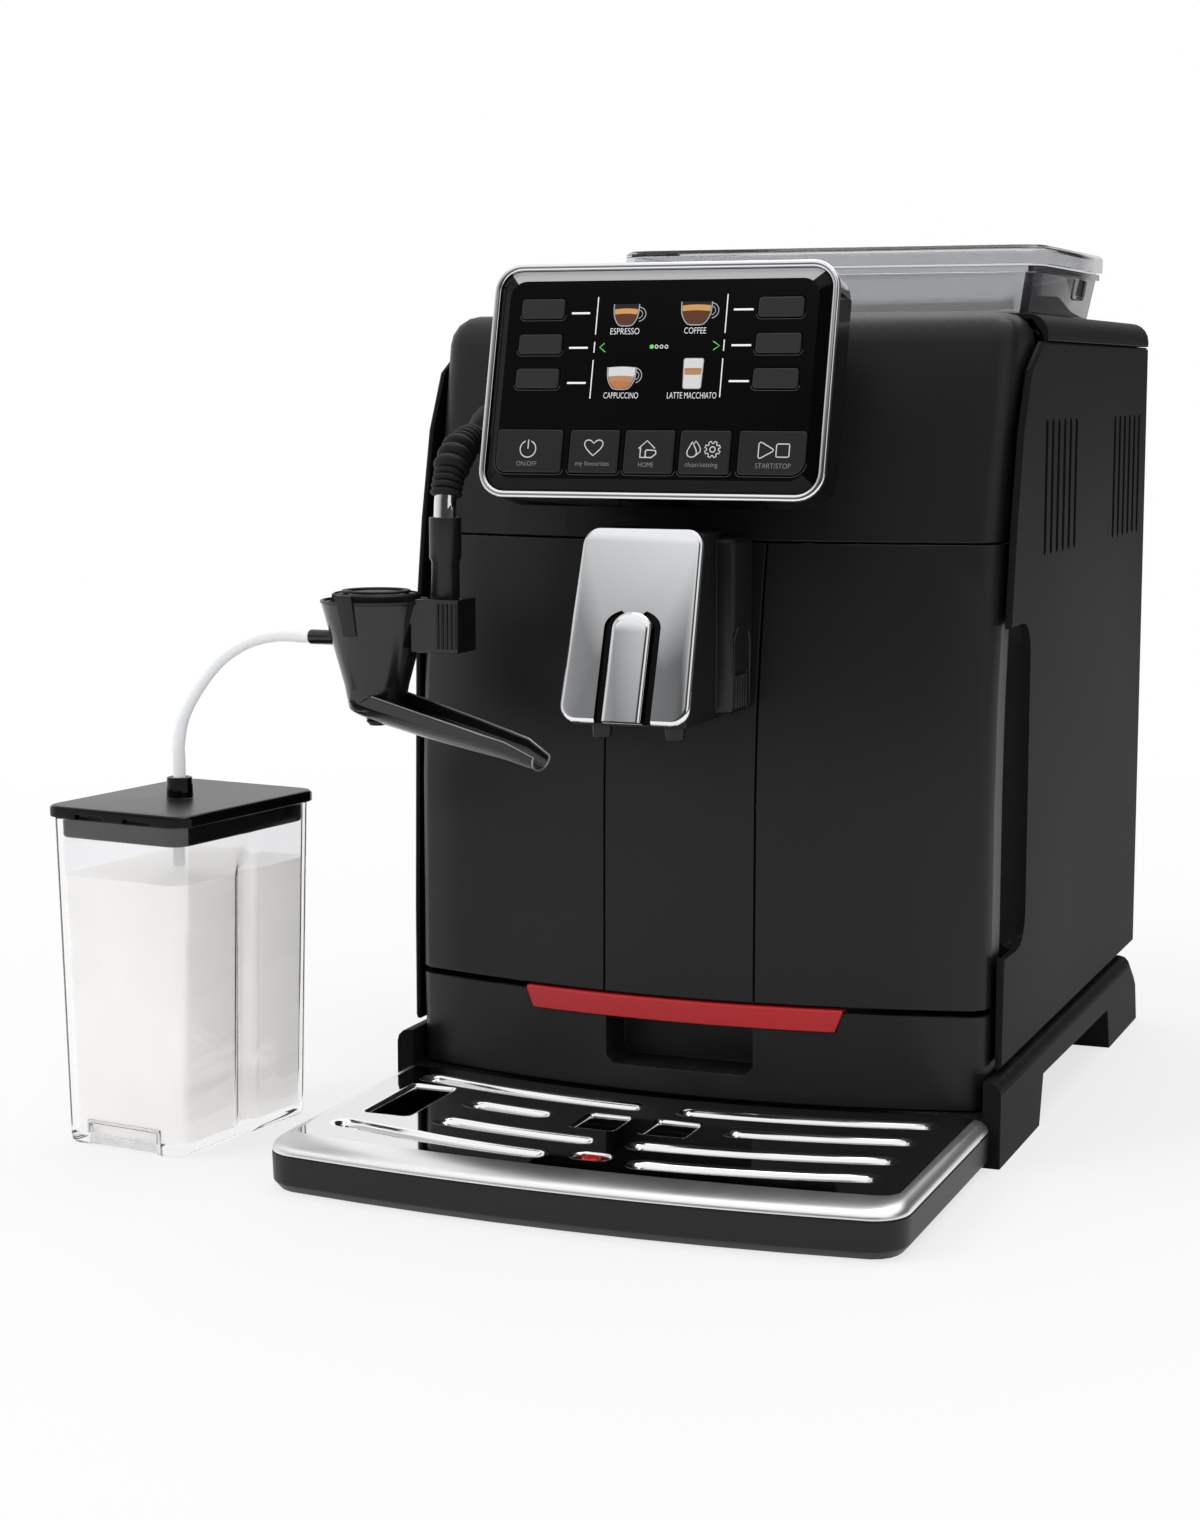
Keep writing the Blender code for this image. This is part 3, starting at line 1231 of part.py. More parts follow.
def brew_group(deck):
    half_x = 0.033
    half_y = 0.035
    height = 0.135
    chamber = 0.022
    chamber_floor = 0.048
    floor = deck + chamber_floor
    top = deck + height
    post_bevel = 0.004
    body = box(
        "brew_group", (BREW.x - half_x, BREW.x + half_x), (BREW.y - half_y, BREW.y + half_y), (deck + GAP, top),
        DARK, bevel=post_bevel, segments=2, pick=lambda middle, way: abs(way.z) > 0.9,
    )
    rod_radius = 0.006
    rod_length = 0.030
    piston = 0.020
    pin = 0.003
    gear_height = 0.070
    gear_z = deck + gear_height
    gear_width = 0.004
    tooth = 0.003
    pin_from = BREW.x + half_x - pin
    join(body, cylinder("gear_pin", (pin_from, BREW.y, gear_z), pin + 2 * gear_width, pin, axis="X", segments=16))
    cut(
        body,
        cylinder("brew_chamber", BREW + Vector((0, 0, floor)), height, chamber),
        cylinder("rod_bore", BREW + Vector((0, 0, floor - rod_length - RUN)), height, rod_radius + RUN, segments=16),
    )
    turned("brew_piston", [
        (0, piston), (chamber - RUN, piston), (chamber - RUN, piston * 0.7), (chamber - 3 * RUN, piston * 0.65),
        (chamber - 3 * RUN, piston * 0.45), (chamber - RUN, piston * 0.4), (chamber - RUN, GAP), (rod_radius, GAP),
        (rod_radius, -rod_length), (0, -rod_length),
    ], BREW + Vector((0, 0, floor)), BRASS)
    gear_x = BREW.x + half_x + GAP
    gear = prism("brew_gear", gear_outline(GEAR_RADIUS, 14, tooth, (BREW.y, gear_z)), "YZ",
                 (gear_x, gear_x + gear_width), CLEAR)
    cut(gear, cylinder("gear_bore", (gear_x - OVERRUN, BREW.y, gear_z), gear_width + 2 * OVERRUN, pin + RUN / 2,
                       axis="X", segments=16))


def service_parts(deck):
    """Boiler, pump and power board, standing behind the brew group and the tank."""
    boiler = Vector((-0.076, 0.085, deck + GAP))
    radius = 0.026
    height = 0.085
    turned("boiler", [
        (0, height), (radius * 0.3, height), (radius * 0.85, height * 0.9), (radius, height * 0.78),
        (radius, height * 0.12), (radius * 1.12, height * 0.1), (radius * 1.12, 0), (0, 0),
    ], boiler, METAL)
    pump_radius = 0.017
    pump_x = 0.074
    lift = 0.006
    pump_z = deck + GAP + lift + pump_radius
    pump_y = (0.122, 0.196)
    coil = (0.012, 0.058)
    saddle_y = (0.140, 0.172)
    pump = turned("pump", [
        (0, pump_y[1] - pump_y[0]), (pump_radius * 0.4, pump_y[1] - pump_y[0]), (pump_radius * 0.4, coil[1] * 1.04),
        (pump_radius, coil[1]), (pump_radius, coil[0]), (pump_radius * 0.5, coil[0] * 0.8), (pump_radius * 0.5, 0),
        (0, 0),
    ], (pump_x, pump_y[0], pump_z), METAL, axis="Y")
    join(pump, box("pump_saddle", (pump_x - pump_radius * 0.8, pump_x + pump_radius * 0.8), saddle_y,
                   (deck + GAP, pump_z - pump_radius * 0.5)))
    board_thick = 0.0016
    board_x = BULKHEAD_X - GAP
    board_y = (0.060, 0.190)
    board_z = (0.090, 0.230)
    board = box("power_board", (board_x - board_thick, board_x), board_y, board_z, BOARD)
    parts = (((0.075, 0.105), (0.105, 0.140), 0.022), ((0.120, 0.150), (0.110, 0.125), 0.014),
             ((0.080, 0.095), (0.170, 0.210), 0.016), ((0.120, 0.175), (0.160, 0.200), 0.010))
    for i, (y, z, tall) in enumerate(parts):
        join(board, box(f"component_{i}", (board_x - board_thick - tall, board_x - board_thick / 2), y, z))


def inlet():
    """The appliance inlet and the rocker switch beside it, low on the back."""
    housing_depth = 0.026
    proud = 0.0015
    front = BODY_REAR - housing_depth
    back = BODY_REAR + proud
    body = box("mains_inlet", INLET_X, (front, back), INLET_Z, DARK)
    border = 0.004
    socket_width = 0.027
    socket_x = (INLET_X[0] + border * 0.75, INLET_X[0] + border * 0.75 + socket_width)
    socket_z = (INLET_Z[0] + border, INLET_Z[1] - border)
    depth = 0.016
    corner = 0.003
    cut(body, box("inlet_socket", socket_x, (back - depth, back + OVERRUN), socket_z, bevel=corner, segments=1,
                  pick=lambda middle, way: abs(way.y) > 0.9 and middle.z > (INLET_Z[0] + INLET_Z[1]) / 2))
    pin = 0.001
    for x_share, z_share in ((0.25, 0.4), (0.75, 0.4), (0.5, 0.65)):
        x = socket_x[0] + (socket_x[1] - socket_x[0]) * x_share
        z = socket_z[0] + (socket_z[1] - socket_z[0]) * z_share
        join(body, box("inlet_pin", (x - pin, x + pin), (back - depth - pin, back - depth / 4), (z - 2 * pin, z + 2 * pin)))
    half_x = 0.009
    half_z = 0.011
    inward = 0.0055
    rocker_x = INLET_X[1] - inward - half_x
    pivot = (BODY_REAR - inward, (INLET_Z[0] + INLET_Z[1]) / 2)
    sink = 0.008
    crest = 0.0085
    sway = 0.0016  # how far a corner moves when the rocker tilts
    cut(body, box("rocker_hole", (rocker_x - half_x - RUN, rocker_x + half_x + RUN),
                  (pivot[0] - sink - 2 * sway, back + OVERRUN), (pivot[1] - half_z - sway, pivot[1] + half_z + sway)))
    outline = [(pivot[0] - sink, pivot[1] - half_z), (pivot[0] - sink, pivot[1] + half_z),
               (pivot[0] + crest, pivot[1] + half_z), (pivot[0] + crest - sway, pivot[1]),
               (pivot[0] + crest, pivot[1] - half_z)]
    prism("mains_switch", outline, "YZ", (rocker_x - half_x, rocker_x + half_x), BLACK)


GRIP_RADIUS = 0.0074
CONNECTOR_TOP = 0.253
ARC_RADIUS = 0.029


def arc_point(angle):
    """A point of the wand's bend: 0 degrees where it leaves the straight, 90 where it hangs down."""
    turn = math.radians(angle)
    start_y = WAND_OUT + ARC_RADIUS
    return Vector((
        WAND_PIVOT.x, start_y - ARC_RADIUS * math.sin(turn), WAND_PIVOT.z - ARC_RADIUS + ARC_RADIUS * math.cos(turn)
    ))


def wand():
    inner_end = -0.034
    flange = 0.0155
    boss = 0.012
    front = -0.059
    rim = 0.0015
    shoulder = 0.006
    depth = 0.026
    socket = turned("wand_socket", [
        (0, 0), (boss * 0.8, 0), (boss, -rim), (flange, -shoulder), (flange, -depth), (0, -depth),
    ], (0, 0, 0), DARK)
    socket.matrix_world = Matrix.Translation((WAND_PIVOT.x, front, WAND_PIVOT.z)) @ Matrix.Rotation(math.radians(90), 4, "X")
    reach = 0.024
    columns = [(x, 0) for x in steps_between(WAND_PIVOT.x - reach, WAND_PIVOT.x + reach, 6)]
    rows = steps_between(WAND_PIVOT.z - reach, WAND_PIVOT.z + reach, 4)
    seat_depth = 0.040
    neck_length = 0.024
    bore_length = 0.060
    seat = front_shell("socket_seat", columns, rows, None, proud=GAP, thickness=seat_depth)
    neck = cylinder("socket_neck", (WAND_PIVOT.x, front + shoulder, WAND_PIVOT.z), neck_length, WAND_SOCKET_RADIUS, axis="Y")
    bore = cylinder("socket_bore", (WAND_PIVOT.x, front - OVERRUN, WAND_PIVOT.z), bore_length, WAND_RADIUS + RUN,
                    axis="Y", segments=20)
    cut(socket, seat)
    join(socket, neck)
    cut(socket, bore)
    angles = steps_between(0, 90, 9)
    tube_end = 0.239
    points = [(WAND_PIVOT.x, inner_end, WAND_PIVOT.z)] + [arc_point(a) for a in angles]
    points.append((WAND_PIVOT.x, WAND_OUT, tube_end))
    rod("wand_tube", [tuple(point) for point in points], WAND_RADIUS, CHROME, resolution=4)
    wand_grip()
    connector_radius = 0.0064
    lower_radius = 0.0056
    lower_end = 0.205
    collar = (0.2355, 0.2370)
    turned("wand_connector", [
        (0, tube_end - RUN), (WAND_RADIUS + GAP, tube_end - RUN), (WAND_RADIUS + GAP, CONNECTOR_TOP),
        (connector_radius, CONNECTOR_TOP), (connector_radius, collar[1]), (lower_radius, collar[0]),
        (lower_radius, lower_end), (0, lower_end),
    ], (WAND_PIVOT.x, WAND_OUT, 0), RUBBER, steps=24)
    return lower_radius, lower_end


def wand_grip():
    """The ribbed rubber grip over the wand's bend, thicker at each rib."""
    first = 4
    last = 76
    ribs = 9
    sides = 12
    groove = 0.0057
    bore = WAND_RADIUS + GAP
    outer = []
    for i in range(2 * ribs + 1):
        radius = GRIP_RADIUS if i % 2 else groove
        outer.append((first + (last - first) * i / (2 * ribs), radius))
    inner = [(angle, bore) for angle in steps_between(last, first, 12)]
    rings = []
    for angle, radius in outer + inner:
        centre = arc_point(angle)
        turn = math.radians(angle)
        along = Vector((0, math.cos(turn), math.sin(turn)))
        up = Vector((0, -math.sin(turn), math.cos(turn)))
        side = Vector((1, 0, 0))
        rings.append([
            centre + side * radius * math.cos(2 * math.pi * k / sides) + up * radius * math.sin(2 * math.pi * k / sides)
            for k in range(sides)
        ])
    loft("wand_grip", rings, RUBBER, closed=True)


def frother(connector_radius, connector_end):
    low = 0.186
    high = 0.219
    low_radius = 0.013
    high_radius = 0.022
    wall = 0.0016
    sides = 24
    dome = 0.176
    funnel = turned("milk_frother", [
        (0, low + wall), (low_radius - wall, low + wall), (high_radius - wall, high), (high_radius, high),
        (low_radius, low), (low_radius * 0.85, dome), (0, dome),
    ], FUNNEL_CENTRE, DARK, steps=sides)
    start = Vector((-0.121, -0.109, 0.182))
    tip = Vector((-0.037, -0.130, 0.164))
    way = (tip - start).normalized()
    side = way.cross(Vector((0, 0, 1))).normalized()
    up = side.cross(way).normalized()
    gutter_wall = 0.0014
    sections = ((0.0, 0.0118, 0.0), (0.12, 0.0120, 0.0), (0.55, 0.0108, 0.0), (0.86, 0.0088, 0.0), (1.0, 0.0062, -0.0022))
    rings = []
    for share, radius, sink in sections:
        centre = start + (tip - start) * share + up * sink
        points = []
        for angle in range(165, 376, 30):
            turn = math.radians(angle)
            points.append(centre + side * radius * math.cos(turn) + up * radius * 0.8 * math.sin(turn))
        for angle in range(375, 164, -30):
            turn = math.radians(angle)
            small = radius - gutter_wall
            points.append(centre + side * small * math.cos(turn) + up * small * 0.8 * math.sin(turn))
        rings.append(points)
    join(funnel, loft("chute", rings))
    bracket_half = 0.0095
    bracket_low = 0.200
    bracket_high = 0.221
    bracket_bevel = 0.002
    bracket = box(
        "bracket", (WAND_PIVOT.x - bracket_half - wall, WAND_PIVOT.x + bracket_half),
        (WAND_OUT - bracket_half, WAND_OUT + bracket_half), (bracket_low, bracket_high), bevel=bracket_bevel, segments=2,
        pick=lambda middle, way: abs(way.z) > 0.9 and middle.x > WAND_PIVOT.x,
    )
    spread = (high_radius - low_radius) * (high - low + OVERRUN) / (high - low)
    inside = cylinder("funnel_inside", FUNNEL_CENTRE + Vector((0, 0, low)), high - low + OVERRUN,
                      low_radius - wall / 2, tip=low_radius - wall / 2 + spread, segments=sides)
    cut(bracket, inside)
    bore_length = 0.05
    bore = cylinder("bracket_bore", (WAND_PIVOT.x, WAND_OUT, connector_end - GAP), bore_length, connector_radius + GAP)
    nipple_length = 0.0140
    nipple_radius = 0.0030
    nipple = cylinder("hose_nipple", NIPPLE, nipple_length, nipple_radius, axis="X", segments=16)
    cut(nipple, inside)
    join(funnel, bracket, nipple)
    cut(funnel, bore)
    cap_radius = 0.0172
    cap_top = 0.223
    seat = 0.2165
    cap_foot = 0.190
    fit = RUN / 2 + wall

    def funnel_radius(z):
        return low_radius + (high_radius - low_radius) * (z - low - wall) / (high - low - wall) - fit

    dish = 0.0008
    turned("frother_cap", [
        (0, cap_top), (cap_radius * 0.55, cap_top), (cap_radius * 0.6, cap_top - dish),
        (cap_radius - 1.5 * dish, cap_top - dish), (cap_radius, cap_top - 2.5 * dish), (cap_radius, seat),
        (funnel_radius(seat), seat), (funnel_radius(cap_foot), cap_foot), (0, cap_foot),
    ], FUNNEL_CENTRE, DARK, steps=sides)


NIPPLE = Vector((-0.146, -0.110, 0.204))
JUG = Matrix.Translation(JUG_CENTRE) @ Matrix.Rotation(JUG_TURN, 4, "Z")
JUG_HALF = (0.033, 0.045)
GROMMET = Vector((0, -0.002, 0))
GROMMET_TOP = 0.1465
HOSE_END = GROMMET_TOP + 0.0004  # the hose stands straight over the grommet, so that the lid slides up along it
HOSE_STRAIGHT = 0.1600
HOSE_RADIUS = 0.0026


def jug_ring(half_x, half_y, radius, height, groove=0.0, corner=3):
    """A section of the jug with an upright groove in its right face."""
    points = rounded(half_x, half_y, radius, corner)
    width = 0.0075
    bend = [(half_x - groove * share, y) for y, share in ((-width, 0.0), (-width * 0.6, 0.8), (0, 1.0), (width * 0.6, 0.8), (width, 0.0))]
    return [(x, y, height) for x, y in points + bend]


def milk_jug():
    half_x, half_y = JUG_HALF
    taper = 0.003
    foot = 0.003
    wall = 0.0022
    corner = 0.007
    groove = 0.0035
    top = JUG_TOP
    fade = (0.108, 0.118)
    jug = loft("milk_jug", [
        jug_ring(half_x - taper - foot / 2, half_y - foot, corner - foot / 2, 0, groove * 0.4),
        jug_ring(half_x - taper, half_y - foot / 2, corner, foot, groove),
        jug_ring(half_x - taper * 0.2, half_y - foot * 0.2, corner, fade[0], groove),
        jug_ring(half_x - taper * 0.1, half_y - foot * 0.1, corner, fade[1], 0.0),
        jug_ring(half_x, half_y, corner, top, 0.0),
        jug_ring(half_x - wall, half_y - wall, corner - wall / 2, top, 0.0),
        jug_ring(half_x - taper * 0.1 - wall, half_y - foot * 0.1 - wall, corner - wall / 2, fade[1], 0.0),
        jug_ring(half_x - taper * 0.2 - wall, half_y - foot * 0.2 - wall, corner - wall / 2, fade[0], groove),
        jug_ring(half_x - taper - wall, half_y - foot / 2 - wall, corner - wall / 2, foot + wall, groove),
        jug_ring(half_x - taper - 2 * wall, half_y - foot / 2 - 2 * wall, corner - wall / 2, foot, groove),
    ], CLEAR)
    jug.matrix_world = JUG
    flange = 0.002
    edge = 0.0008
    plug = 0.008
    clearance = RUN
    lid = loft("jug_lid", [
        ring(half_x - wall - clearance - edge, half_y - wall - clearance - edge, corner - wall, top - plug, 3),
        ring(half_x - wall - clearance, half_y - wall - clearance, corner - wall, top - plug + edge, 3),
        ring(half_x - wall - clearance, half_y - wall - clearance, corner - wall, top + GAP, 3),
        ring(half_x + flange, half_y + flange / 2, corner, top + GAP, 3),
        ring(half_x + flange, half_y + flange / 2, corner, JUG_LID_TOP - edge, 3),
        ring(half_x + flange - edge, half_y + flange / 2 - edge, corner, JUG_LID_TOP, 3),
    ], DARK)
    lid.matrix_world = JUG
    hollow = loft("lid_hollow", [
        ring(half_x - 3 * wall, half_y - 3 * wall, corner - wall, top - plug - OVERRUN, 3),
        ring(half_x - 3 * wall, half_y - 3 * wall, corner - wall, top, 3),
    ])
    hollow.matrix_world = JUG
    spot = JUG @ GROMMET
    grommet_radius = 0.0056
    bore_length = 0.04
    grommet = cylinder("grommet", (spot.x, spot.y, top + edge), GROMMET_TOP - top - edge, grommet_radius,
                       tip=2 * HOSE_RADIUS, segments=20)
    bore = cylinder("grommet_bore", (spot.x, spot.y, top - plug - OVERRUN), bore_length, HOSE_RADIUS + GAP, segments=16)
    cut(lid, hollow)
    join(lid, grommet)
    cut(lid, bore)
    tube_foot = foot + GAP
    slit = 0.0022
    tube = cylinder("suction_tube", (spot.x, spot.y, tube_foot), GROMMET_TOP - tube_foot - GAP, HOSE_RADIUS, CLEAR,
                    segments=16)
    cut(
        tube, cylinder("suction_bore", (spot.x, spot.y, tube_foot - OVERRUN), GROMMET_TOP, HOSE_RADIUS * 0.6, segments=10),
        box("suction_slit", (spot.x - OVERRUN, spot.x + OVERRUN), (spot.y - slit / 4, spot.y + slit / 4),
            (tube_foot - OVERRUN, tube_foot + slit)),
    )


# The milk hose's route, from the frother's nipple to the jug's grommet, hand placed
HOSE_ROUTE = (
    (-0.1463, -0.1100, 0.2040), (-0.1500, -0.1101, 0.2040), (-0.1600, -0.1120, 0.2042), (-0.1720, -0.1150, 0.2012),
    (-0.1830, -0.1187, 0.1935), (-0.1915, -0.1223, 0.1818), (-0.1966, -0.1250, 0.1705), (-0.1983, -0.1260, HOSE_STRAIGHT),
    (-0.1983, -0.1260, 0.1535), (-0.1983, -0.1260, HOSE_END),
)


def smooth(points, per_span):
    """Points of a smooth curve through the given ones (Catmull-Rom)."""
    path = [Vector(point) for point in points]
    ends = [path[0] * 2 - path[1]] + path + [path[-1] * 2 - path[-2]]
    out = []
    for a, b, c, d in zip(ends, ends[1:], ends[2:], ends[3:]):
        for i in range(per_span):
            t = i / per_span
            out.append(
                ((b * 2) + (c - a) * t + (a * 2 - b * 5 + c * 4 - d) * t * t + (b * 3 - a - c * 3 + d) * t ** 3) / 2
            )
    out.append(path[-1])
    return out


def milk_hose():
    rod("milk_hose", [tuple(point) for point in smooth(HOSE_ROUTE, 2)], HOSE_RADIUS, HOSE, resolution=2)


def build():
    plinth()
    deck = frame()
    side_panels()
    rear_panel()
    top_cover()
    upper_fascia()
    lower_shells()
    control_box()
    spout()
    drip_tray()
    drawer()
    water_tank(deck)
    hopper()
    grinder()
    brew_group(deck)
    service_parts(deck)
    inlet()
    radius, end = wand()
    frother(radius, end)
    milk_jug()
    milk_hose()


build()
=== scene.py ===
# %% [markdown]
# Dressing a bean to cup coffee machine
#
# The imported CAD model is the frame: sixty rigid solids at their real size, in metres, with the
# front towards -Y and the ground at z = 0. This lesson keeps that frame as it is and gives it
# the looks of a real machine: moulded and glossy black plastic, chrome, clear and smoked
# plastic, rubber, print and milk. Nothing here changes a size or a joint.

# %% Load the frame
import json
import math

import bmesh
import bpy
from mathutils import Matrix, Vector


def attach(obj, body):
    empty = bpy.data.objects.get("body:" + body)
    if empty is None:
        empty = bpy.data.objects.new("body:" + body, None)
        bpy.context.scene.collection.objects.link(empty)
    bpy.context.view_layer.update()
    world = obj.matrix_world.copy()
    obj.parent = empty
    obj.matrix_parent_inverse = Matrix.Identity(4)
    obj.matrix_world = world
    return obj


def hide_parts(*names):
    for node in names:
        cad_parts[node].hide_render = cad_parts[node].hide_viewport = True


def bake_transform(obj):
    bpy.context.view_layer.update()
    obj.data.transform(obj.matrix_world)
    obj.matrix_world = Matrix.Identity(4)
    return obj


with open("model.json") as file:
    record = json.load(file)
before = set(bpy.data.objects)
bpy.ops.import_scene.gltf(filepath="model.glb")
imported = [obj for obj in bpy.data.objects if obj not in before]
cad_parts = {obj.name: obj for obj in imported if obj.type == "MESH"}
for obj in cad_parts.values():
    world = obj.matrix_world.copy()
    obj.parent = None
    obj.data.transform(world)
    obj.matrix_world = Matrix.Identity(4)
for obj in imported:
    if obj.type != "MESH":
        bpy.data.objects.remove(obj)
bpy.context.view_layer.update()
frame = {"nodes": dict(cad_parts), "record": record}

body_of = {node: body for body, nodes in frame["record"]["behaviour"]["bodies"].items() for node in nodes}

# %% [markdown]
# The camera
#
# A product photograph like this one is taken from a little above the work top, with a longish
# lens, from the right of the front. The place, turn and lens below were found by fitting the
# corners of the machine to the picture, so that the render has the photograph's frame. The
# longer side of the picture is 36 mm of film, and the lens is given in the same unit.

# %% Camera
CAMERA_AT = Vector((0.3723, -1.1146, 0.305))
CAMERA_TURN = math.radians(21.37)
CAMERA_DIP = math.radians(7.656)
FILM = 36.0
FOCUS = 2800 / 1520 * FILM

way = Vector((-math.sin(CAMERA_TURN) * math.cos(CAMERA_DIP), math.cos(CAMERA_TURN) * math.cos(CAMERA_DIP),
              -math.sin(CAMERA_DIP)))
camera = bpy.data.objects.new("camera", bpy.data.cameras.new("camera"))
bpy.context.scene.collection.objects.link(camera)
camera.data.sensor_width = FILM
camera.data.lens = FOCUS
camera.data.clip_start = 0.05
camera.location = CAMERA_AT
camera.rotation_euler = way.to_track_quat("-Z", "Y").to_euler()
bpy.context.scene.camera = camera
bpy.context.scene.view_settings.view_transform = "Standard"
print("camera at", CAMERA_AT, "with a lens of", round(FOCUS, 1), "mm")

# %% [markdown]
# Sums of shader values
#
# A finish is worked out by nodes. Written as Python sums it can be read like the rule that it
# is, so a small class wraps a socket and adds a Math node for each operation. Every other node
# comes from one method, which takes the node's type, its settings and what goes into its
# sockets.

# %% Shader sums
class Value:
    """A shader socket that can stand in a sum."""

    def __init__(self, finish, socket):
        self.finish = finish
        self.socket = socket

    def sum(self, operation, *terms):
        return self.finish.node("ShaderNodeMath", {"operation": operation}, dict(enumerate(terms)))

    def __add__(self, other):
        return self.sum("ADD", self, other)

    def __radd__(self, other):
        return self.sum("ADD", other, self)

    def __sub__(self, other):
        return self.sum("SUBTRACT", self, other)

    def __rsub__(self, other):
        return self.sum("SUBTRACT", other, self)

    def __mul__(self, other):
        return self.sum("MULTIPLY", self, other)

    def __rmul__(self, other):
        return self.sum("MULTIPLY", other, self)

    def most(self, other):
        return self.sum("MAXIMUM", self, other)


class Finish:
    """One material: a Principled shader whose patterns read Object coordinates."""

    def __init__(self, name, colour, roughness, metallic=0.0, **fixed):
        self.material = bpy.data.materials.new(name)
        self.material.use_nodes = True
        self.tree = self.material.node_tree
        self.shader = self.tree.nodes["Principled BSDF"]
        self.place = self.node("ShaderNodeTexCoord", output="Object")
        self.feed("Base Color", (*colour, 1))
        self.feed("Roughness", roughness)
        self.feed("Metallic", metallic)
        for socket, value in fixed.items():
            self.feed(socket.replace("_", " "), value)

    def node(self, kind, settings=None, inputs=None, output=0):
        made = self.tree.nodes.new(kind)
        for name, value in (settings or {}).items():
            setattr(made, name, value)
        for name, value in (inputs or {}).items():
            if isinstance(value, Value):
                self.tree.links.new(value.socket, made.inputs[name])
            else:
                made.inputs[name].default_value = value
        return Value(self, made.outputs[output])

    def feed(self, socket, value):
        if isinstance(value, Value):
            self.tree.links.new(value.socket, self.shader.inputs[socket])
        else:
            self.shader.inputs[socket].default_value = value

    def stretched(self, scale):
        """Object coordinates, stretched along an axis by a small factor there."""
        return self.node("ShaderNodeMapping", {}, {"Vector": self.place, "Scale": scale})

    def noise(self, scale, detail=2.0, roughness=0.5, vector=None):
        return self.node("ShaderNodeTexNoise", {}, {"Vector": vector or self.place, "Scale": scale, "Detail": detail,
                                                     "Roughness": roughness})

    def spread(self, value, low, high, to_low, to_high):
        """The value's span from low to high, spread to another span."""
        return self.node("ShaderNodeMapRange", {"clamp": True}, {0: value, 1: low, 2: high, 3: to_low, 4: to_high})

    def blend(self, factor, first, second):
        first, second = ((*c, 1) if isinstance(c, tuple) and len(c) == 3 else c for c in (first, second))
        return self.node("ShaderNodeMix", {"data_type": "RGBA"}, {0: factor, 6: first, 7: second}, output=2)

    def bump(self, height, strength, distance):
        return self.node("ShaderNodeBump", {}, {"Height": height, "Strength": strength, "Distance": distance})


finishes = {}
print("shader sums are ready")

# %% [markdown]
# The stage
#
# The machine stands on a plain pale floor in a white studio. The floor is a real surface, so it
# keeps the machine's soft shadow, but most of its white comes from its own colour towards the
# camera: Light Path tells the shader which kind of ray is asking, and a strength of 1 is white.
# Mirrors and clear plastic ask too, so they show the same white room. Towards the photographer
# a studio is dimmer, with one soft screen up to the left, and that is what the black gloss and
# the chrome of the spout show.

# %% Floor
FLOOR_REACH = 6.0

floor_mesh = bmesh.new()
bmesh.ops.create_grid(floor_mesh, x_segments=1, y_segments=1, size=FLOOR_REACH)
bmesh.ops.subdivide_edges(floor_mesh, edges=floor_mesh.edges, cuts=3, use_grid_fill=True)
floor_data = bpy.data.meshes.new("studio_floor")
floor_mesh.to_mesh(floor_data)
floor_mesh.free()
floor = bpy.data.objects.new("studio_floor", floor_data)
bpy.context.scene.collection.objects.link(floor)

pale = Finish("studio_floor", (0.9, 0.9, 0.9), 0.6, Specular_IOR_Level=0.1)
rays = pale.tree.nodes.new("ShaderNodeLightPath")
seen = Value(pale, rays.outputs["Is Camera Ray"]).most(Value(pale, rays.outputs["Is Glossy Ray"]))
seen = seen.most(Value(pale, rays.outputs["Is Transmission Ray"]))
away = pale.node("ShaderNodeVectorMath", {"operation": "LENGTH"}, {0: pale.place}, output=1)
own_white = pale.spread(away, 0.35, 1.1, 0.72, 1.0)
white = pale.node("ShaderNodeEmission", {}, {"Color": (1, 1, 1, 1), "Strength": 1.0})
mixed = pale.node("ShaderNodeMixShader", {}, {0: seen * own_white, 1: Value(pale, pale.shader.outputs[0]), 2: white})
pale.tree.links.new(mixed.socket, pale.tree.nodes["Material Output"].inputs["Surface"])
floor_data.materials.append(pale.material)
print("floor", 2 * FLOOR_REACH, "m wide")

# %% White room
ROOM_DIFFUSE = 0.55  # how brightly the room itself lights the machine
DIM_FRONT = 0.05  # what gloss shows of the room behind the photographer
RIGHT_SIDE = 0.04  # what is left of the room's back towards the right
SCREEN_WAY = Vector((-0.40, -0.80, 0.45)).normalized()  # towards the soft screen

world = bpy.data.worlds.new("white_room")
bpy.context.scene.world = world
world.use_nodes = True


class Room(Finish):
    """The same maker of nodes, for the world."""

    def __init__(self, tree):
        self.tree = tree
        self.place = self.node("ShaderNodeTexCoord", output="Generated")


room = Room(world.node_tree)
rays = room.tree.nodes.new("ShaderNodeLightPath")
axes = room.tree.nodes.new("ShaderNodeSeparateXYZ")
room.tree.links.new(room.place.socket, axes.inputs[0])
back = room.spread(Value(room, axes.outputs[1]), -0.45, 0.25, 0.0, 1.0)
side = room.spread(Value(room, axes.outputs[0]), -0.2, -0.95, 0.0, 0.75)
towards = room.node("ShaderNodeVectorMath", {"operation": "DOT_PRODUCT"}, {0: room.place, 1: SCREEN_WAY}, output=1)
upward = room.spread(Value(room, axes.outputs[2]), 0.42, 0.56, 0.0, 1.0)
screen = room.spread(towards, 0.80, 0.97, 0.0, 0.95) * upward
above = room.spread(Value(room, axes.outputs[2]), 0.60, 0.72, 0.0, 1.0)
right = room.spread(Value(room, axes.outputs[0]), 0.02, 0.17, 1.0, RIGHT_SIDE)
gloss = DIM_FRONT + (back * right).most(side).most(screen).most(above) * (1 - DIM_FRONT)
is_camera = Value(room, rays.outputs["Is Camera Ray"])
is_glossy = Value(room, rays.outputs["Is Glossy Ray"])
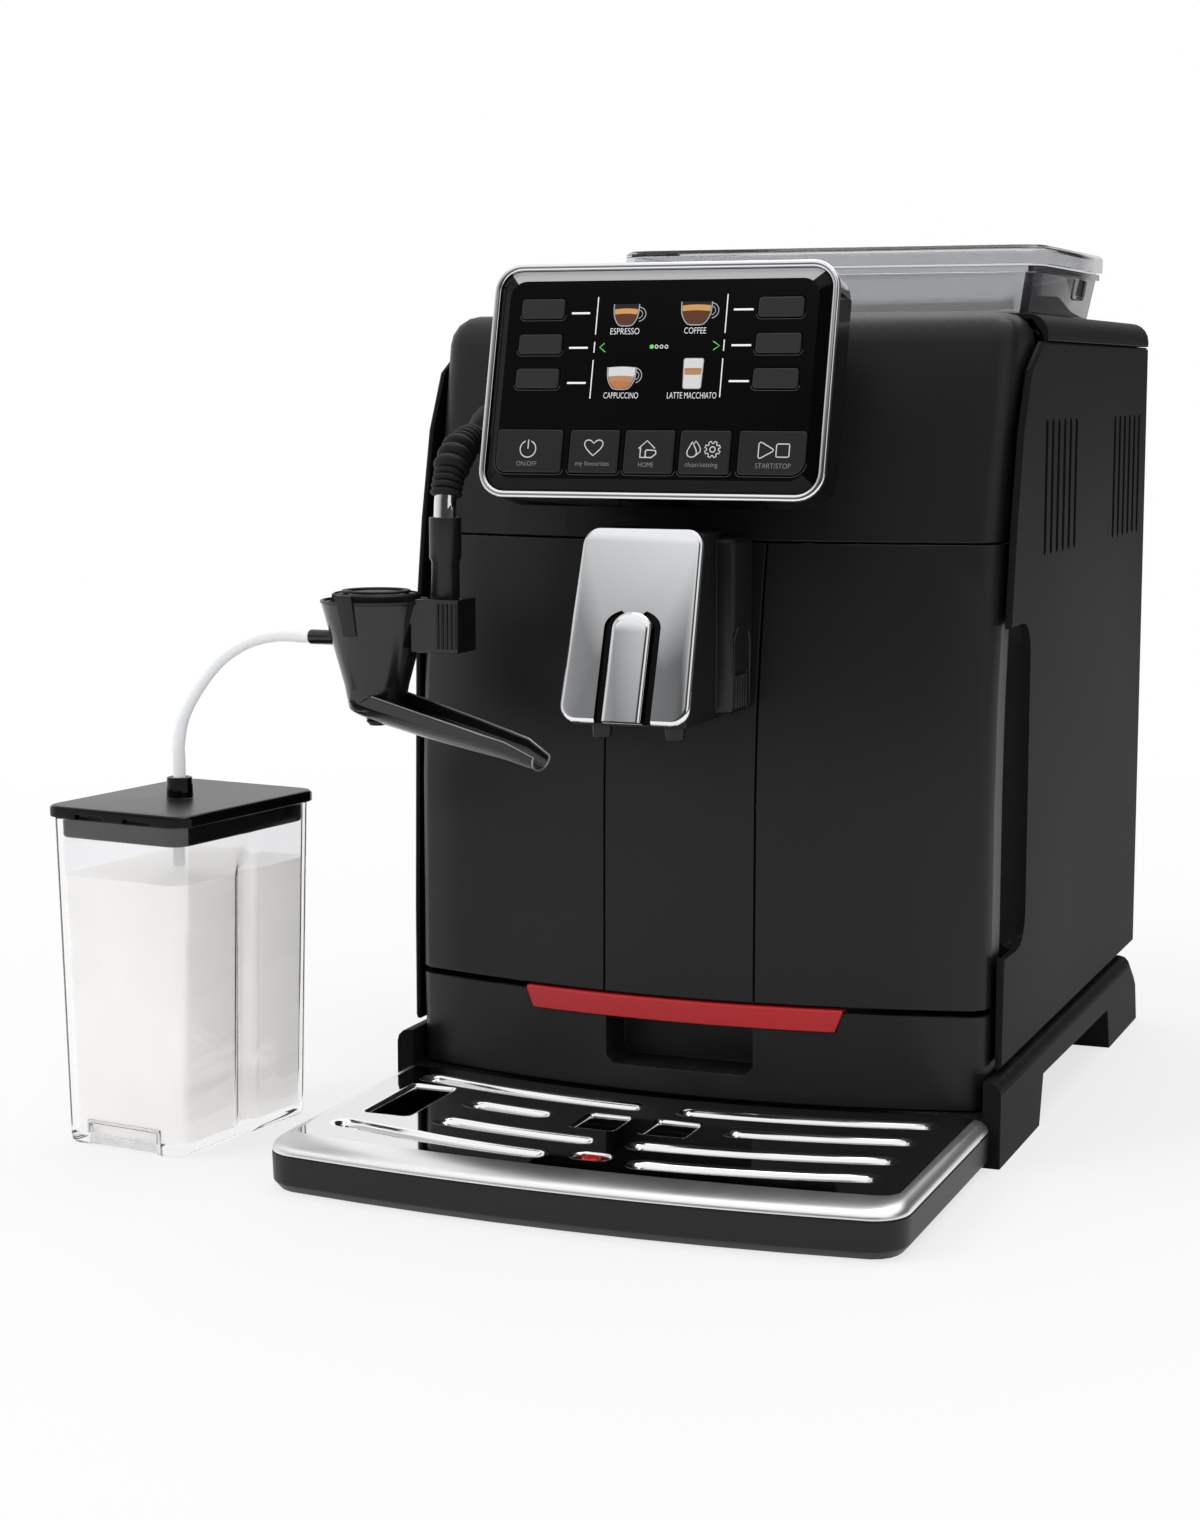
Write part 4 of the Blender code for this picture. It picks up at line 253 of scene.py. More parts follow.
is_through = Value(room, rays.outputs["Is Transmission Ray"])
plain = is_camera.most(is_through)
strength = plain + (1 - plain) * (is_glossy * gloss + (1 - is_glossy) * ROOM_DIFFUSE)
background = room.tree.nodes["Background"]
background.inputs["Color"].default_value = (1, 1, 1, 1)
room.tree.links.new(strength.socket, background.inputs["Strength"])
print("white room, dimmer towards the photographer")

# %% Soft lights
SOFT_LIGHTS = (
    ("key_softbox", (-1.50, -1.05, 1.65), 1.2, 20),
    ("fill_softbox", (1.55, -0.85, 1.00), 1.2, 3.5),
    ("top_softbox", (0.10, 0.55, 1.75), 1.3, 12),
)
AIM = Vector((0, 0, 0.17))
for name, place, size, power in SOFT_LIGHTS:
    lamp = bpy.data.objects.new(name, bpy.data.lights.new(name, "AREA"))
    bpy.context.scene.collection.objects.link(lamp)
    lamp.data.shape = "SQUARE"
    lamp.data.size = size
    lamp.data.energy = power
    lamp.location = place
    lamp.rotation_euler = (AIM - Vector(place)).to_track_quat("-Z", "Y").to_euler()
    lamp.visible_camera = False
    lamp.visible_glossy = name != "key_softbox"
print([row[0] for row in SOFT_LIGHTS])

# %% [markdown]
# Making and dressing pieces
#
# Two helpers make every piece. The first turns a bmesh into an object that rides on a body of
# the frame, with its normals recalculated and its sharp edges marked. The second dresses a node
# of the frame: a moulded part has smooth curves and small rounded edges that catch the light,
# and the frame's triangles have neither. Its copy is merged, its flat faces are joined again,
# and a Bevel modifier rounds the edges. The node itself stays as it is.

# %% Pieces
WELD = 1e-6
SHARP = 33


def piece(name, bm, finish, node=None, sharp=SHARP, outward=True):
    """A bmesh as an object that rides on the body of a node, when one is given."""
    if outward:
        bmesh.ops.recalc_face_normals(bm, faces=bm.faces)
    mesh = bpy.data.meshes.new(name)
    bm.to_mesh(mesh)
    bm.free()
    made = bpy.data.objects.new(name, mesh)
    bpy.context.scene.collection.objects.link(made)
    mesh.materials.append(finishes[finish].material)
    mesh.shade_smooth()
    mesh.set_sharp_from_angle(angle=math.radians(sharp))
    if node:
        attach(made, body_of[node])
    return made


def repainted(made, finish, test):
    """Gives a second or third finish to the faces that pass a test."""
    made.data.materials.append(finishes[finish].material)
    for polygon in made.data.polygons:
        if test(polygon):
            polygon.material_index = len(made.data.materials) - 1
    return made


def merged(node):
    """A bmesh of a node, with its loose triangles merged and its flat faces joined."""
    bm = bmesh.new()
    bm.from_mesh(frame["nodes"][node].data)
    bmesh.ops.remove_doubles(bm, verts=bm.verts, dist=WELD)
    bmesh.ops.dissolve_limit(bm, angle_limit=math.radians(0.6), verts=bm.verts, edges=bm.edges)
    return bm


def soften(made, width, segments=2, angle=SHARP, clamp=False):
    """Rounds a piece's sharp edges; with a clamp, only as far as its smallest face allows."""
    edge = made.modifiers.new("soft_edges", "BEVEL")
    edge.width = width
    edge.segments = segments
    edge.limit_method = "ANGLE"
    edge.angle_limit = math.radians(angle)
    edge.harden_normals = True
    edge.use_clamp_overlap = clamp
    return made


def dressed(node, finish, width=0.0, clamp=False):
    made = piece(node + "_dressed", merged(node), finish, node, outward=False)
    if width:
        soften(made, width, clamp=clamp)
    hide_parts(node)
    return made


def flat_shape(points, thick, corner=0.0, steps=4):
    """A bmesh of a flat outline in the plane of its first two axes, with rounded corners, thick along the third."""
    bm = bmesh.new()
    face = bm.faces.new([bm.verts.new((u, v, 0)) for u, v in points])
    if corner:
        bmesh.ops.bevel(bm, geom=face.verts[:], offset=corner, segments=steps, profile=0.5, material=-1,
                        affect="VERTICES")
    raised = bmesh.ops.extrude_face_region(bm, geom=bm.faces[:])
    bmesh.ops.translate(bm, verts=[v for v in raised["geom"] if isinstance(v, bmesh.types.BMVert)], vec=(0, 0, thick))
    return bm


def joined(*parts):
    """Several bmeshes as one."""
    out = bmesh.new()
    for part in parts:
        held = bpy.data.meshes.new("held")
        part.to_mesh(held)
        part.free()
        out.from_mesh(held)
        bpy.data.meshes.remove(held)
    return out


def moved(bm, matrix):
    bm.transform(matrix)
    return bm


print("pieces can be made and nodes dressed")

# %% Bent tubes
def curve_path(points, per_span):
    """Points of a smooth curve through the given ones."""
    path = [Vector(point) for point in points]
    ends = [path[0] * 2 - path[1]] + path + [path[-1] * 2 - path[-2]]
    out = []
    for a, b, c, d in zip(ends, ends[1:], ends[2:], ends[3:]):
        for i in range(per_span):
            t = i / per_span
            bent = (a * 2 - b * 5 + c * 4 - d) * t * t + (b * 3 - a - c * 3 + d) * t ** 3
            out.append(((b * 2) + (c - a) * t + bent) / 2)
    out.append(path[-1])
    return out


def tube(path, radius, resolution=6):
    """A bmesh of a round tube along the points."""
    line = bpy.data.curves.new("tube", "CURVE")
    line.dimensions = "3D"
    line.bevel_depth = radius
    line.bevel_resolution = resolution
    line.use_fill_caps = True
    spline = line.splines.new("POLY")
    spline.points.add(len(path) - 1)
    for point, place in zip(spline.points, path):
        point.co = (*place, 1)
    holder = bpy.data.objects.new("tube", line)
    bpy.context.scene.collection.objects.link(holder)
    bpy.context.view_layer.update()
    mesh = bpy.data.meshes.new_from_object(holder.evaluated_get(bpy.context.evaluated_depsgraph_get()))
    bpy.data.objects.remove(holder)
    bm = bmesh.new()
    bm.from_mesh(mesh)
    bpy.data.meshes.remove(mesh)
    bmesh.ops.remove_doubles(bm, verts=bm.verts, dist=WELD)
    return bm


def length_of(path):
    return sum((b - a).length for a, b in zip(path, path[1:]))


print("tubes follow a path")

# %% [markdown]
# Finishes
#
# Every surface of such a machine is one of a dozen finishes. A satin moulding takes its look
# from a fine spark-eroded grain in the tool, so it gets a bump of less than a tenth of a
# millimetre, a roughness that wanders a little, and a trace of dust on what faces up. Gloss and
# chrome are nearly perfect: only faint wiping marks change their roughness.

# %% Plastics
def moulded(name, colour, roughness, grain, strength, dust=0.25, specular=0.3):
    made = Finish(name, colour, roughness, 0.0, Specular_IOR_Level=specular)
    cloud = made.noise(4.0, 2.0)
    fine = made.noise(grain, 2.0, 0.6)
    wipe = made.noise(5.0, 2.0, 0.5)
    facing = made.tree.nodes.new("ShaderNodeSeparateXYZ")
    made.tree.links.new(made.node("ShaderNodeNewGeometry", output="Normal").socket, facing.inputs[0])
    specks = made.spread(made.noise(420.0, 1.0), 0.60, 0.72, 0.0, 1.0)
    lying = made.spread(Value(made, facing.outputs[2]), 0.4, 1.0, 0.0, 1.0) * specks * dust
    darker = tuple(c * 0.90 for c in colour)
    lighter = tuple(c * 1.12 for c in colour)
    base = made.blend(made.spread(cloud, 0.35, 0.65, 0.0, 1.0), darker, lighter)
    made.feed("Base Color", made.blend(lying, base, tuple(0.10 + c * 0.9 for c in colour)))
    made.feed("Roughness", made.spread(wipe, 0.3, 0.7, roughness * 0.96, roughness * 1.05) + lying * 0.15)
    made.feed("Normal", made.bump(fine, strength, 0.0001))
    finishes[name] = made
    return made


moulded("satin_black", (0.0115, 0.0115, 0.0122), 0.40, 1500.0, 0.35, specular=0.30)
moulded("side_black", (0.0118, 0.0118, 0.0123), 0.46, 1500.0, 0.35, specular=0.02)
moulded("matt_black", (0.0085, 0.0085, 0.0090), 0.52, 1200.0, 0.45, specular=0.25)
moulded("soft_black", (0.0100, 0.0100, 0.0105), 0.34, 900.0, 0.12, dust=0.1, specular=0.35)
moulded("smooth_black", (0.0080, 0.0080, 0.0085), 0.20, 900.0, 0.03, dust=0.0, specular=0.55)
moulded("red_moulding", (0.50, 0.011, 0.016), 0.30, 1600.0, 0.15, dust=0.05, specular=0.5)
moulded("key_grey", (0.021, 0.0215, 0.0235), 0.42, 1800.0, 0.30, dust=0.05, specular=0.4)
moulded("key_dark", (0.0125, 0.0128, 0.0140), 0.42, 1800.0, 0.30, dust=0.05, specular=0.4)
moulded("rubber", (0.0105, 0.0105, 0.0105), 0.62, 700.0, 0.5, dust=0.3, specular=0.25)
moulded("float_red", (0.50, 0.012, 0.012), 0.25, 900.0, 0.08, dust=0.0, specular=0.5)
print(len(finishes), "moulded finishes")


# %% Gloss, metal and clear plastic
def wiped(name, colour, roughness, most, metallic=0.0, **fixed):
    """A smooth finish that only wiping marks change."""
    made = Finish(name, colour, roughness, metallic, **fixed)
    streak = made.noise(26.0, 4.0, 0.6, made.stretched((1.0, 0.35, 1.0)))
    cloud = made.noise(7.0, 2.0)
    marks = made.spread(streak * 0.6 + cloud * 0.4, 0.46, 0.62, 0.0, 1.0)
    made.feed("Roughness", roughness + marks * (most - roughness))
    made.feed("Base Color", made.blend(marks * 0.5, colour, tuple(c * 0.93 for c in colour)))
    finishes[name] = made
    return made


wiped("gloss_black", (0.0042, 0.0042, 0.0048), 0.045, 0.10, Specular_IOR_Level=0.45)
wiped("panel_black", (0.0022, 0.0022, 0.0025), 0.05, 0.09, Specular_IOR_Level=0.16)
# A lighter grey, half-metal copy of the face for its upper chamfer: a painted sheen.
wiped("panel_chamfer_painted_sheen", (0.46, 0.46, 0.47), 0.10, 0.16, 0.42)
wiped("chrome", (0.86, 0.87, 0.89), 0.035, 0.075, 1.0)
wiped("mirror_steel", (0.74, 0.745, 0.755), 0.05, 0.08, 1.0)
wiped("rolled_steel", (0.92, 0.922, 0.93), 0.32, 0.38, 1.0)
wiped("lip_steel", (0.92, 0.922, 0.93), 0.09, 0.13, 1.0)
# A light grey, half-metal finish for the chute's edge: a painted highlight.
wiped("painted_highlight_edge", (0.34, 0.34, 0.35), 0.16, 0.22, 0.55)
# A light grey for the fine line below each key: a painted highlight of the seat's edge.
wiped("painted_seat_highlight", (0.075, 0.076, 0.080), 0.30, 0.36)
wiped("smoked_clear", (0.74, 0.745, 0.76), 0.03, 0.07, Transmission_Weight=1.0, IOR=1.46)
wiped("smoked_lid", (0.66, 0.665, 0.68), 0.04, 0.08, Transmission_Weight=1.0, IOR=1.46)
# Copies of the smoked plastic for the hopper: a paler, less clear one for its front, painted light, and a dark grey one
# for its right end, painted shade.
wiped("smoked_front_painted_light", (0.74, 0.745, 0.76), 0.06, 0.10, Transmission_Weight=0.55, IOR=1.46)
wiped("smoked_side_painted_shade", (0.075, 0.076, 0.080), 0.04, 0.08, Transmission_Weight=1.0, IOR=1.07)
wiped("clear_plastic", (0.972, 0.972, 0.982), 0.02, 0.05, Transmission_Weight=1.0, IOR=1.47)
wiped("tank_clear", (0.55, 0.58, 0.63), 0.05, 0.12, Transmission_Weight=0.9, IOR=1.47)
# The hose's finish glows a little: painted light, standing in for light scattered in its milky wall.
wiped("milky_hose_painted_glow", (0.78, 0.79, 0.81), 0.18, 0.24, Emission_Color=(0.78, 0.79, 0.81, 1), Emission_Strength=0.25)
wiped("screen_white", (0.83, 0.84, 0.86), 0.35, 0.45, Emission_Color=(0.83, 0.84, 0.86, 1), Emission_Strength=0.25)
wiped("dim_print", (0.27, 0.275, 0.29), 0.45, 0.55)
wiped("key_print", (0.62, 0.63, 0.65), 0.40, 0.50, Emission_Color=(0.6, 0.61, 0.63, 1), Emission_Strength=0.12)
wiped("glass_dark", (0.012, 0.008, 0.014), 0.30, 0.40)
wiped("screen_green", (0.12, 0.62, 0.10), 0.35, 0.45, Emission_Color=(0.10, 0.62, 0.10, 1), Emission_Strength=0.35)
wiped("coffee_brown", (0.085, 0.026, 0.010), 0.35, 0.45, Emission_Color=(0.085, 0.026, 0.010, 1), Emission_Strength=0.3)
wiped("crema_gold", (0.52, 0.27, 0.08), 0.35, 0.45, Emission_Color=(0.52, 0.27, 0.08, 1), Emission_Strength=0.3)
wiped("milk_coffee", (0.38, 0.20, 0.10), 0.35, 0.45, Emission_Color=(0.38, 0.20, 0.10, 1), Emission_Strength=0.3)
wiped("milk_caramel", (0.42, 0.15, 0.05), 0.35, 0.45, Emission_Color=(0.42, 0.15, 0.05, 1), Emission_Strength=0.3)
wiped("milk_foam", (0.62, 0.62, 0.63), 0.35, 0.45, Emission_Color=(0.6, 0.6, 0.61, 1), Emission_Strength=0.2)
wiped("glass_line", (0.36, 0.37, 0.39), 0.35, 0.45, Emission_Color=(0.36, 0.37, 0.39, 1), Emission_Strength=0.3)
# The milk's finish glows: painted light in place of the light that the clear wall keeps from it.
wiped("milk", (0.80, 0.785, 0.755), 0.18, 0.24, Emission_Color=(0.80, 0.785, 0.755, 1), Emission_Strength=0.50)
print(len(finishes), "finishes")


# %% Worked metal and boards
def brushed(name, colour, roughness, stretch, metallic=1.0):
    """Metal with fine lines along one axis, and a few stains."""
    made = Finish(name, colour, roughness, metallic)
    lines = made.noise(900.0, 2.0, 0.7, made.stretched(stretch))
    stain = made.spread(made.noise(22.0, 4.0), 0.52, 0.72, 0.0, 1.0)
    made.feed("Base Color", made.blend(stain * 0.5, colour, tuple(c * 0.6 for c in colour)))
    made.feed("Roughness", made.spread(lines, 0.3, 0.7, roughness * 0.8, roughness * 1.3) + stain * 0.1)
    made.feed("Normal", made.bump(lines, 0.15, 0.00005))
    finishes[name] = made


brushed("plain_metal", (0.42, 0.42, 0.43), 0.34, (0.03, 1.0, 1.0))
brushed("brass", (0.52, 0.37, 0.14), 0.28, (1.0, 1.0, 0.05))

board = Finish("circuit_board", (0.016, 0.11, 0.045), 0.35)
tracks = board.node("ShaderNodeTexBrick", {"offset": 0.5}, {
    "Vector": board.place, "Scale": 55.0, "Color1": (0, 0, 0, 1), "Color2": (0.2, 0.2, 0.2, 1), "Mortar": (1, 1, 1, 1),
    "Mortar Size": 0.035, "Brick Width": 0.8, "Row Height": 0.22})
pads = board.spread(board.noise(260.0, 1.0), 0.66, 0.70, 0.0, 1.0)
copper = board.blend(tracks * 0.55, (0.013, 0.085, 0.035), (0.03, 0.20, 0.07))
board.feed("Base Color", board.blend(pads, copper, (0.45, 0.44, 0.40)))
board.feed("Roughness", 0.42 - pads * 0.15)
finishes["circuit_board"] = board
print(len(finishes), "finishes in all")

# %% [markdown]
# The milk hose
#
# A soft clear hose of 5.2 mm brings the milk from the jug to the frother: about 95 mm show
# between the frother's nipple and the grommet in the lid, and from there it runs straight down
# to the jug's floor. Its ends move with three different things, the frother, the wand and the
# jug, and a bend may cross one joint only. So it is made in three lengths that share their end
# points.

# %% Milk hose
HOSE_RADIUS = 0.0026
GROMMET = (-0.1983, -0.1260)
HOSE_STRAIGHT = 0.1600
JUG_FLOOR = 0.0036
HOSE_ROUTE = (
    (-0.1463, -0.1100, 0.2040), (-0.1500, -0.1101, 0.2040), (-0.1600, -0.1120, 0.2042), (-0.1720, -0.1150, 0.2012),
    (-0.1830, -0.1187, 0.1935), (-0.1915, -0.1223, 0.1818), (-0.1966, -0.1250, 0.1705), (*GROMMET, HOSE_STRAIGHT),
    (*GROMMET, 0.1535), (*GROMMET, 0.1469),
)
hose_path = curve_path(HOSE_ROUTE, 8)
open_length = length_of(hose_path)


def stretch_of(path, low, high):
    """The points of a path between two lengths along it, its cut ends included."""
    out = []
    run = 0.0
    for a, b in zip(path, path[1:]):
        step = (b - a).length
        for at in (low, high):
            if run <= at < run + step:
                out.append(a + (b - a) * (at - run) / step)
        if low < run + step < high:
            out.append(b.copy())
        run += step
    return out


span = 12.05 * HOSE_RADIUS
lengths = [stretch_of(hose_path, 0, span), stretch_of(hose_path, span, 2 * span),
           stretch_of(hose_path, 2 * span, open_length * 2)]
lengths[2] += [Vector((*GROMMET, JUG_FLOOR + (0.1469 - JUG_FLOOR) * (1 - i / 24))) for i in range(1, 25)]
bends = (("frother", "wand"), ("wand", "machine"), ("machine", "jug"))
for i, (path, (first, last)) in enumerate(zip(lengths, bends)):
    path = [p for p, q in zip(path, path[1:]) if (q - p).length > 1e-5] + [path[-1]]
    hose = piece(f"milk_hose_{i + 1}", tube(path, HOSE_RADIUS), "milky_hose_painted_glow")
    end = Vector((*GROMMET, HOSE_STRAIGHT)) if i == 2 else path[-1]
    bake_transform(hose)
    length_of(path)
    "taut" if i == 2 else "loose"
    if i == 2:
        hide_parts("milk_hose", "suction_tube")
print("hose", round(open_length * 1000, 1), "mm outside the jug, in three lengths")

# %% [markdown]
# The body
#
# The plinth, side panels, top cover and rear panel are large mouldings of satin black plastic.
# Their shapes are already right in the frame, so each is dressed: merged, given a small radius
# along its edges, and painted. The front shells are the same plastic, a little smoother.

# %% Plinth, panels and covers
for node, finish in (("left_side_panel", "side_black"), ("right_side_panel", "side_black"),
                     ("rear_panel", "satin_black")):
    dressed(node, finish, 0.0006, clamp=True)
for node in ("plinth", "top_cover"):
    dressed(node, "side_black", 0.0006)
for node, width in (("upper_fascia", 0.0006), ("left_front_panel", 0.0005), ("centre_panel", 0.0004),
                    ("tank_front_panel", 0.0005), ("drawer_front", 0.0005)):
    dressed(node, "satin_black", width)
for node in ("front_foot_strip", "rear_foot_strip"):
    dressed(node, "rubber", 0.0004)
strip = dressed("drawer_strip", "red_moulding", 0.0004)
strip.visible_glossy = False  # the studio kept its red out of the tray's mirror
print("body dressed")

# %% Control box, spout and tray
dressed("control_housing", "gloss_black", 0.0005)
dressed("spout_body", "soft_black", 0.0004)
dressed("drip_tray", "satin_black", 0.0006)
dressed("tray_float", "float_red", 0.0002)
print("front dressed")

# %% Hopper, wand, frother and jug
HOPPER_END = 0.100  # from here on the hopper is all corner
hopper = dressed("bean_hopper", "smoked_clear", 0.0004)


def at_right_end(polygon):
    """Whether a face belongs to the right end, which looks darker where it is seen through more plastic; it gets a dark
    grey copy of the plastic as painted shade.
    """
    return polygon.normal.x > 0.3 or polygon.center.x > HOPPER_END


# The right end gets the dark grey copy as painted shade, and the faces towards the front the paler copy as painted
# light.
repainted(hopper, "smoked_side_painted_shade", at_right_end)
repainted(hopper, "smoked_front_painted_light", lambda polygon: polygon.normal.y < -0.5 and not at_right_end(polygon))
dressed("hopper_lid", "smoked_lid", 0.0005)
END_LOW, END_HIGH = (0.1040, 0.3333), (0.1073, 0.3520)  # the right end's slope, in x and z


def on_end(y, z):
    """A point on the hopper's right end."""
    share = (z - END_LOW[1]) / (END_HIGH[1] - END_LOW[1])
    return Vector((END_LOW[0] + (END_HIGH[0] - END_LOW[0]) * share, y, z))


TAB = ((0.1470, 0.3512), (0.1470, 0.3446), (0.1482, 0.3430), (0.1500, 0.3424), (0.1690, 0.3424), (0.1708, 0.3430),
       (0.1720, 0.3446), (0.1720, 0.3512))
piece("hopper_tab", tube([on_end(*point) for point in TAB], 0.0003, resolution=3), "smoked_lid", "bean_hopper")
piece("hopper_tab_slit", tube([on_end(0.1665, z) for z in (0.3440, 0.3514)], 0.0006, resolution=3), "matt_black",
      "bean_hopper")
dressed("grind_knob", "matt_black", 0.0003)
dressed("wand_socket", "matt_black", 0.0004)
dressed("wand_tube", "chrome")
dressed("wand_connector", "soft_black", 0.0005)
dressed("milk_frother", "smooth_black", 0.0005)
dressed("frother_cap", "matt_black", 0.0002)
print("hopper, wand and jug dressed")

# %% Rear and inside
dressed("mains_inlet", "matt_black", 0.0003)
dressed("mains_switch", "matt_black", 0.0003)
dressed("water_tank", "tank_clear", 0.0004)
INSIDE = {
    "inner_frame": "matt_black", "spout_rail": "matt_black", "grinder": "matt_black", "brew_group": "matt_black",
    "grounds_bin": "matt_black", "display_board": "circuit_board", "power_board": "circuit_board",
    "grinder_burr": "plain_metal", "boiler": "plain_metal", "pump": "plain_metal", "brew_piston": "brass",
    "brew_gear": "key_grey",
}
for node, finish in INSIDE.items():
    carried = frame["nodes"][node]
    carried.data.materials.clear()
    carried.data.materials.append(finishes[finish].material)
print(len(INSIDE), "inner nodes painted")

# %% [markdown]
# Shaping helpers
#
# Three more helpers serve many pieces. One bridges a row of loops into a solid, as a loft does.
# One cuts a solid with another, for holes. One lays a thin line along points, for printed
# outlines, as a flattened tube.

# %% Lofts, cuts and printed lines
def lofted(rings, cyclic=False):
    """A bmesh through loops of equal length; cyclic joins the last to the first, as in a ring."""
    bm = bmesh.new()
    row = [bm.verts.new(point) for point in rings[0]]
    loop = [bm.edges.new(pair) for pair in zip(row, row[1:] + row[:1])]
    if not cyclic:
        bm.faces.new(row)
    for ring in rings[1:] + (rings[:1] if cyclic else []):
        made = bmesh.ops.extrude_edge_only(bm, edges=loop)["geom"]
        fresh = {v for v in made if isinstance(v, bmesh.types.BMVert)}
        row = [next(edge.other_vert(v) for edge in v.link_edges if edge.other_vert(v) in fresh) for v in row]
        for v, point in zip(row, ring):
            v.co = point
        loop = [edge for edge in made if isinstance(edge, bmesh.types.BMEdge) and fresh.issuperset(edge.verts)]
    if cyclic:
        bmesh.ops.remove_doubles(bm, verts=bm.verts, dist=WELD)
    else:
        bm.faces.new(row)
    bmesh.ops.recalc_face_normals(bm, faces=bm.faces)
    return bm


def carved(bm, cutter):
    """What a Boolean leaves of one bmesh when another cuts it."""
    holders = []
    for name, solid in (("kept", bm), ("cutter", cutter)):
        bmesh.ops.recalc_face_normals(solid, faces=solid.faces)
        mesh = bpy.data.meshes.new(name)
        solid.to_mesh(mesh)
        solid.free()
        holders.append(bpy.data.objects.new(name, mesh))
        bpy.context.scene.collection.objects.link(holders[-1])
    cut = holders[0].modifiers.new("cut", "BOOLEAN")
    cut.object = holders[1]
    cut.operation = "DIFFERENCE"
    cut.solver = "EXACT"
    bpy.context.view_layer.update()
    mesh = bpy.data.meshes.new_from_object(holders[0].evaluated_get(bpy.context.evaluated_depsgraph_get()))
    for holder in holders:
        bpy.data.objects.remove(holder)
    out = bmesh.new()
    out.from_mesh(mesh)
    bpy.data.meshes.remove(mesh)
    bmesh.ops.remove_doubles(out, verts=out.verts, dist=WELD)
    return out


def round_rect(half_x, half_v, radius, centre=(0, 0), steps=8):
    """Points of a rounded rectangle; radius is one number, or one for each corner, upper right first, anticlockwise."""
    radii = radius if isinstance(radius, tuple) else (radius,) * 4
    points = []
    for turn, (side, rise) in enumerate(((1, 1), (-1, 1), (-1, -1), (1, -1))):
        r = radii[turn]
        for i in range(steps + 1):
            angle = math.radians(90 * (turn + i / steps))
            points.append((centre[0] + side * (half_x - r) + r * math.cos(angle),
                           centre[1] + rise * (half_v - r) + r * math.sin(angle)))
    return points


def at_depth(points, depth):
    return [(u, v, depth) for u, v in points]


def prism(outline, low, high):
    """A straight solid over a flat outline."""
    return lofted([at_depth(outline, low), at_depth(outline, high)])


def stroke(points, width, closed=False, thick=0.25):
    """A printed line along flat points: a tube pressed to a share of its width."""
    path = [Vector((u, v, 0)) for u, v in points]
    if closed:
        path += [path[0], path[0] + (path[1] - path[0]) * 0.5]
    return moved(tube(path, width / 2, resolution=2), Matrix.Diagonal((1, 1, thick, 1)))


def lettering(words, left, right, low, high, thick):
    """Words in Blender's own plain font, fitted to a box in the plane."""
    text = bpy.data.curves.new("words", "FONT")
    text.body = words
    text.extrude = 0.01
    text.offset = -0.012
    text.resolution_u = 4
    holder = bpy.data.objects.new("words", text)
    bpy.context.scene.collection.objects.link(holder)
    bpy.context.view_layer.update()
    mesh = bpy.data.meshes.new_from_object(holder.evaluated_get(bpy.context.evaluated_depsgraph_get()))
    bpy.data.objects.remove(holder)
    bm = bmesh.new()
    bm.from_mesh(mesh)
    bpy.data.meshes.remove(mesh)
    bmesh.ops.remove_doubles(bm, verts=bm.verts, dist=WELD)
    us, vs = [v.co.x for v in bm.verts], [v.co.y for v in bm.verts]
    grow_u, grow_v = (right - left) / (max(us) - min(us)), (high - low) / (max(vs) - min(vs))
    bm.transform(Matrix.Diagonal((grow_u, grow_v, thick / 0.02, 1)))
    bm.transform(Matrix.Translation((left - min(us) * grow_u, low - min(vs) * grow_v, thick / 2)))
    return bm


print("lofts, cuts, lines and words can be made")

# %% [markdown]
# The control panel
#
# The panel is a box with a chromed ring, a black gloss face with a chamfer all round, and
# eleven keys. The frame has all of them, and here they get the real edges: the ring is domed
# with rolled edges, the face has its chamfer, and each key a soft rim and a seat. The
# chamfer's upper band is a lighter grey, a painted sheen, and the fine light grey line below
# each key is a painted highlight of its seat. All is drawn in the panel's own plane, right, up
# and out, and one matrix leans it back into place.

# %% The panel's plane
PANEL_AT = (0, -0.1061, 0.3066)
PANEL_LEAN = 13.7
PANEL_HALF = (0.070, 0.0461)
PANEL_CORNER = 0.011
RING_WIDTH = 0.0026
RING_TOP = -0.0006
PLATE_BACK = -0.003
PANEL = Matrix.Translation(PANEL_AT) @ Matrix.Rotation(math.radians(90 - PANEL_LEAN), 4, "X")
ring_profile = ((0, PLATE_BACK), (0, RING_TOP - 0.0007), (0.0001, RING_TOP - 0.0004), (0.0003, RING_TOP - 0.0002),
                (0.0006, RING_TOP - 0.00008), (0.0010, RING_TOP), (0.0016, RING_TOP), (0.0020, RING_TOP - 0.00008),
                (0.0023, RING_TOP - 0.0002), (0.0025, RING_TOP - 0.0004), (RING_WIDTH, RING_TOP - 0.0008),
                (RING_WIDTH, PLATE_BACK))
panel_ring = lofted([at_depth(round_rect(PANEL_HALF[0] - inset, PANEL_HALF[1] - inset, PANEL_CORNER - inset), out)
                     for inset, out in ring_profile], cyclic=True)
made = piece("panel_ring", moved(panel_ring, PANEL), "chrome", "control_bezel", sharp=50)
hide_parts("control_bezel")
print("ring", RING_WIDTH * 1000, "mm wide")

# %% Face and keys
CHAMFER_WIDTH = 0.0046
CHAMFER_DEEP = 0.0024
KEY_TOP = 0.0008
KEY_SEAT = 0.00035
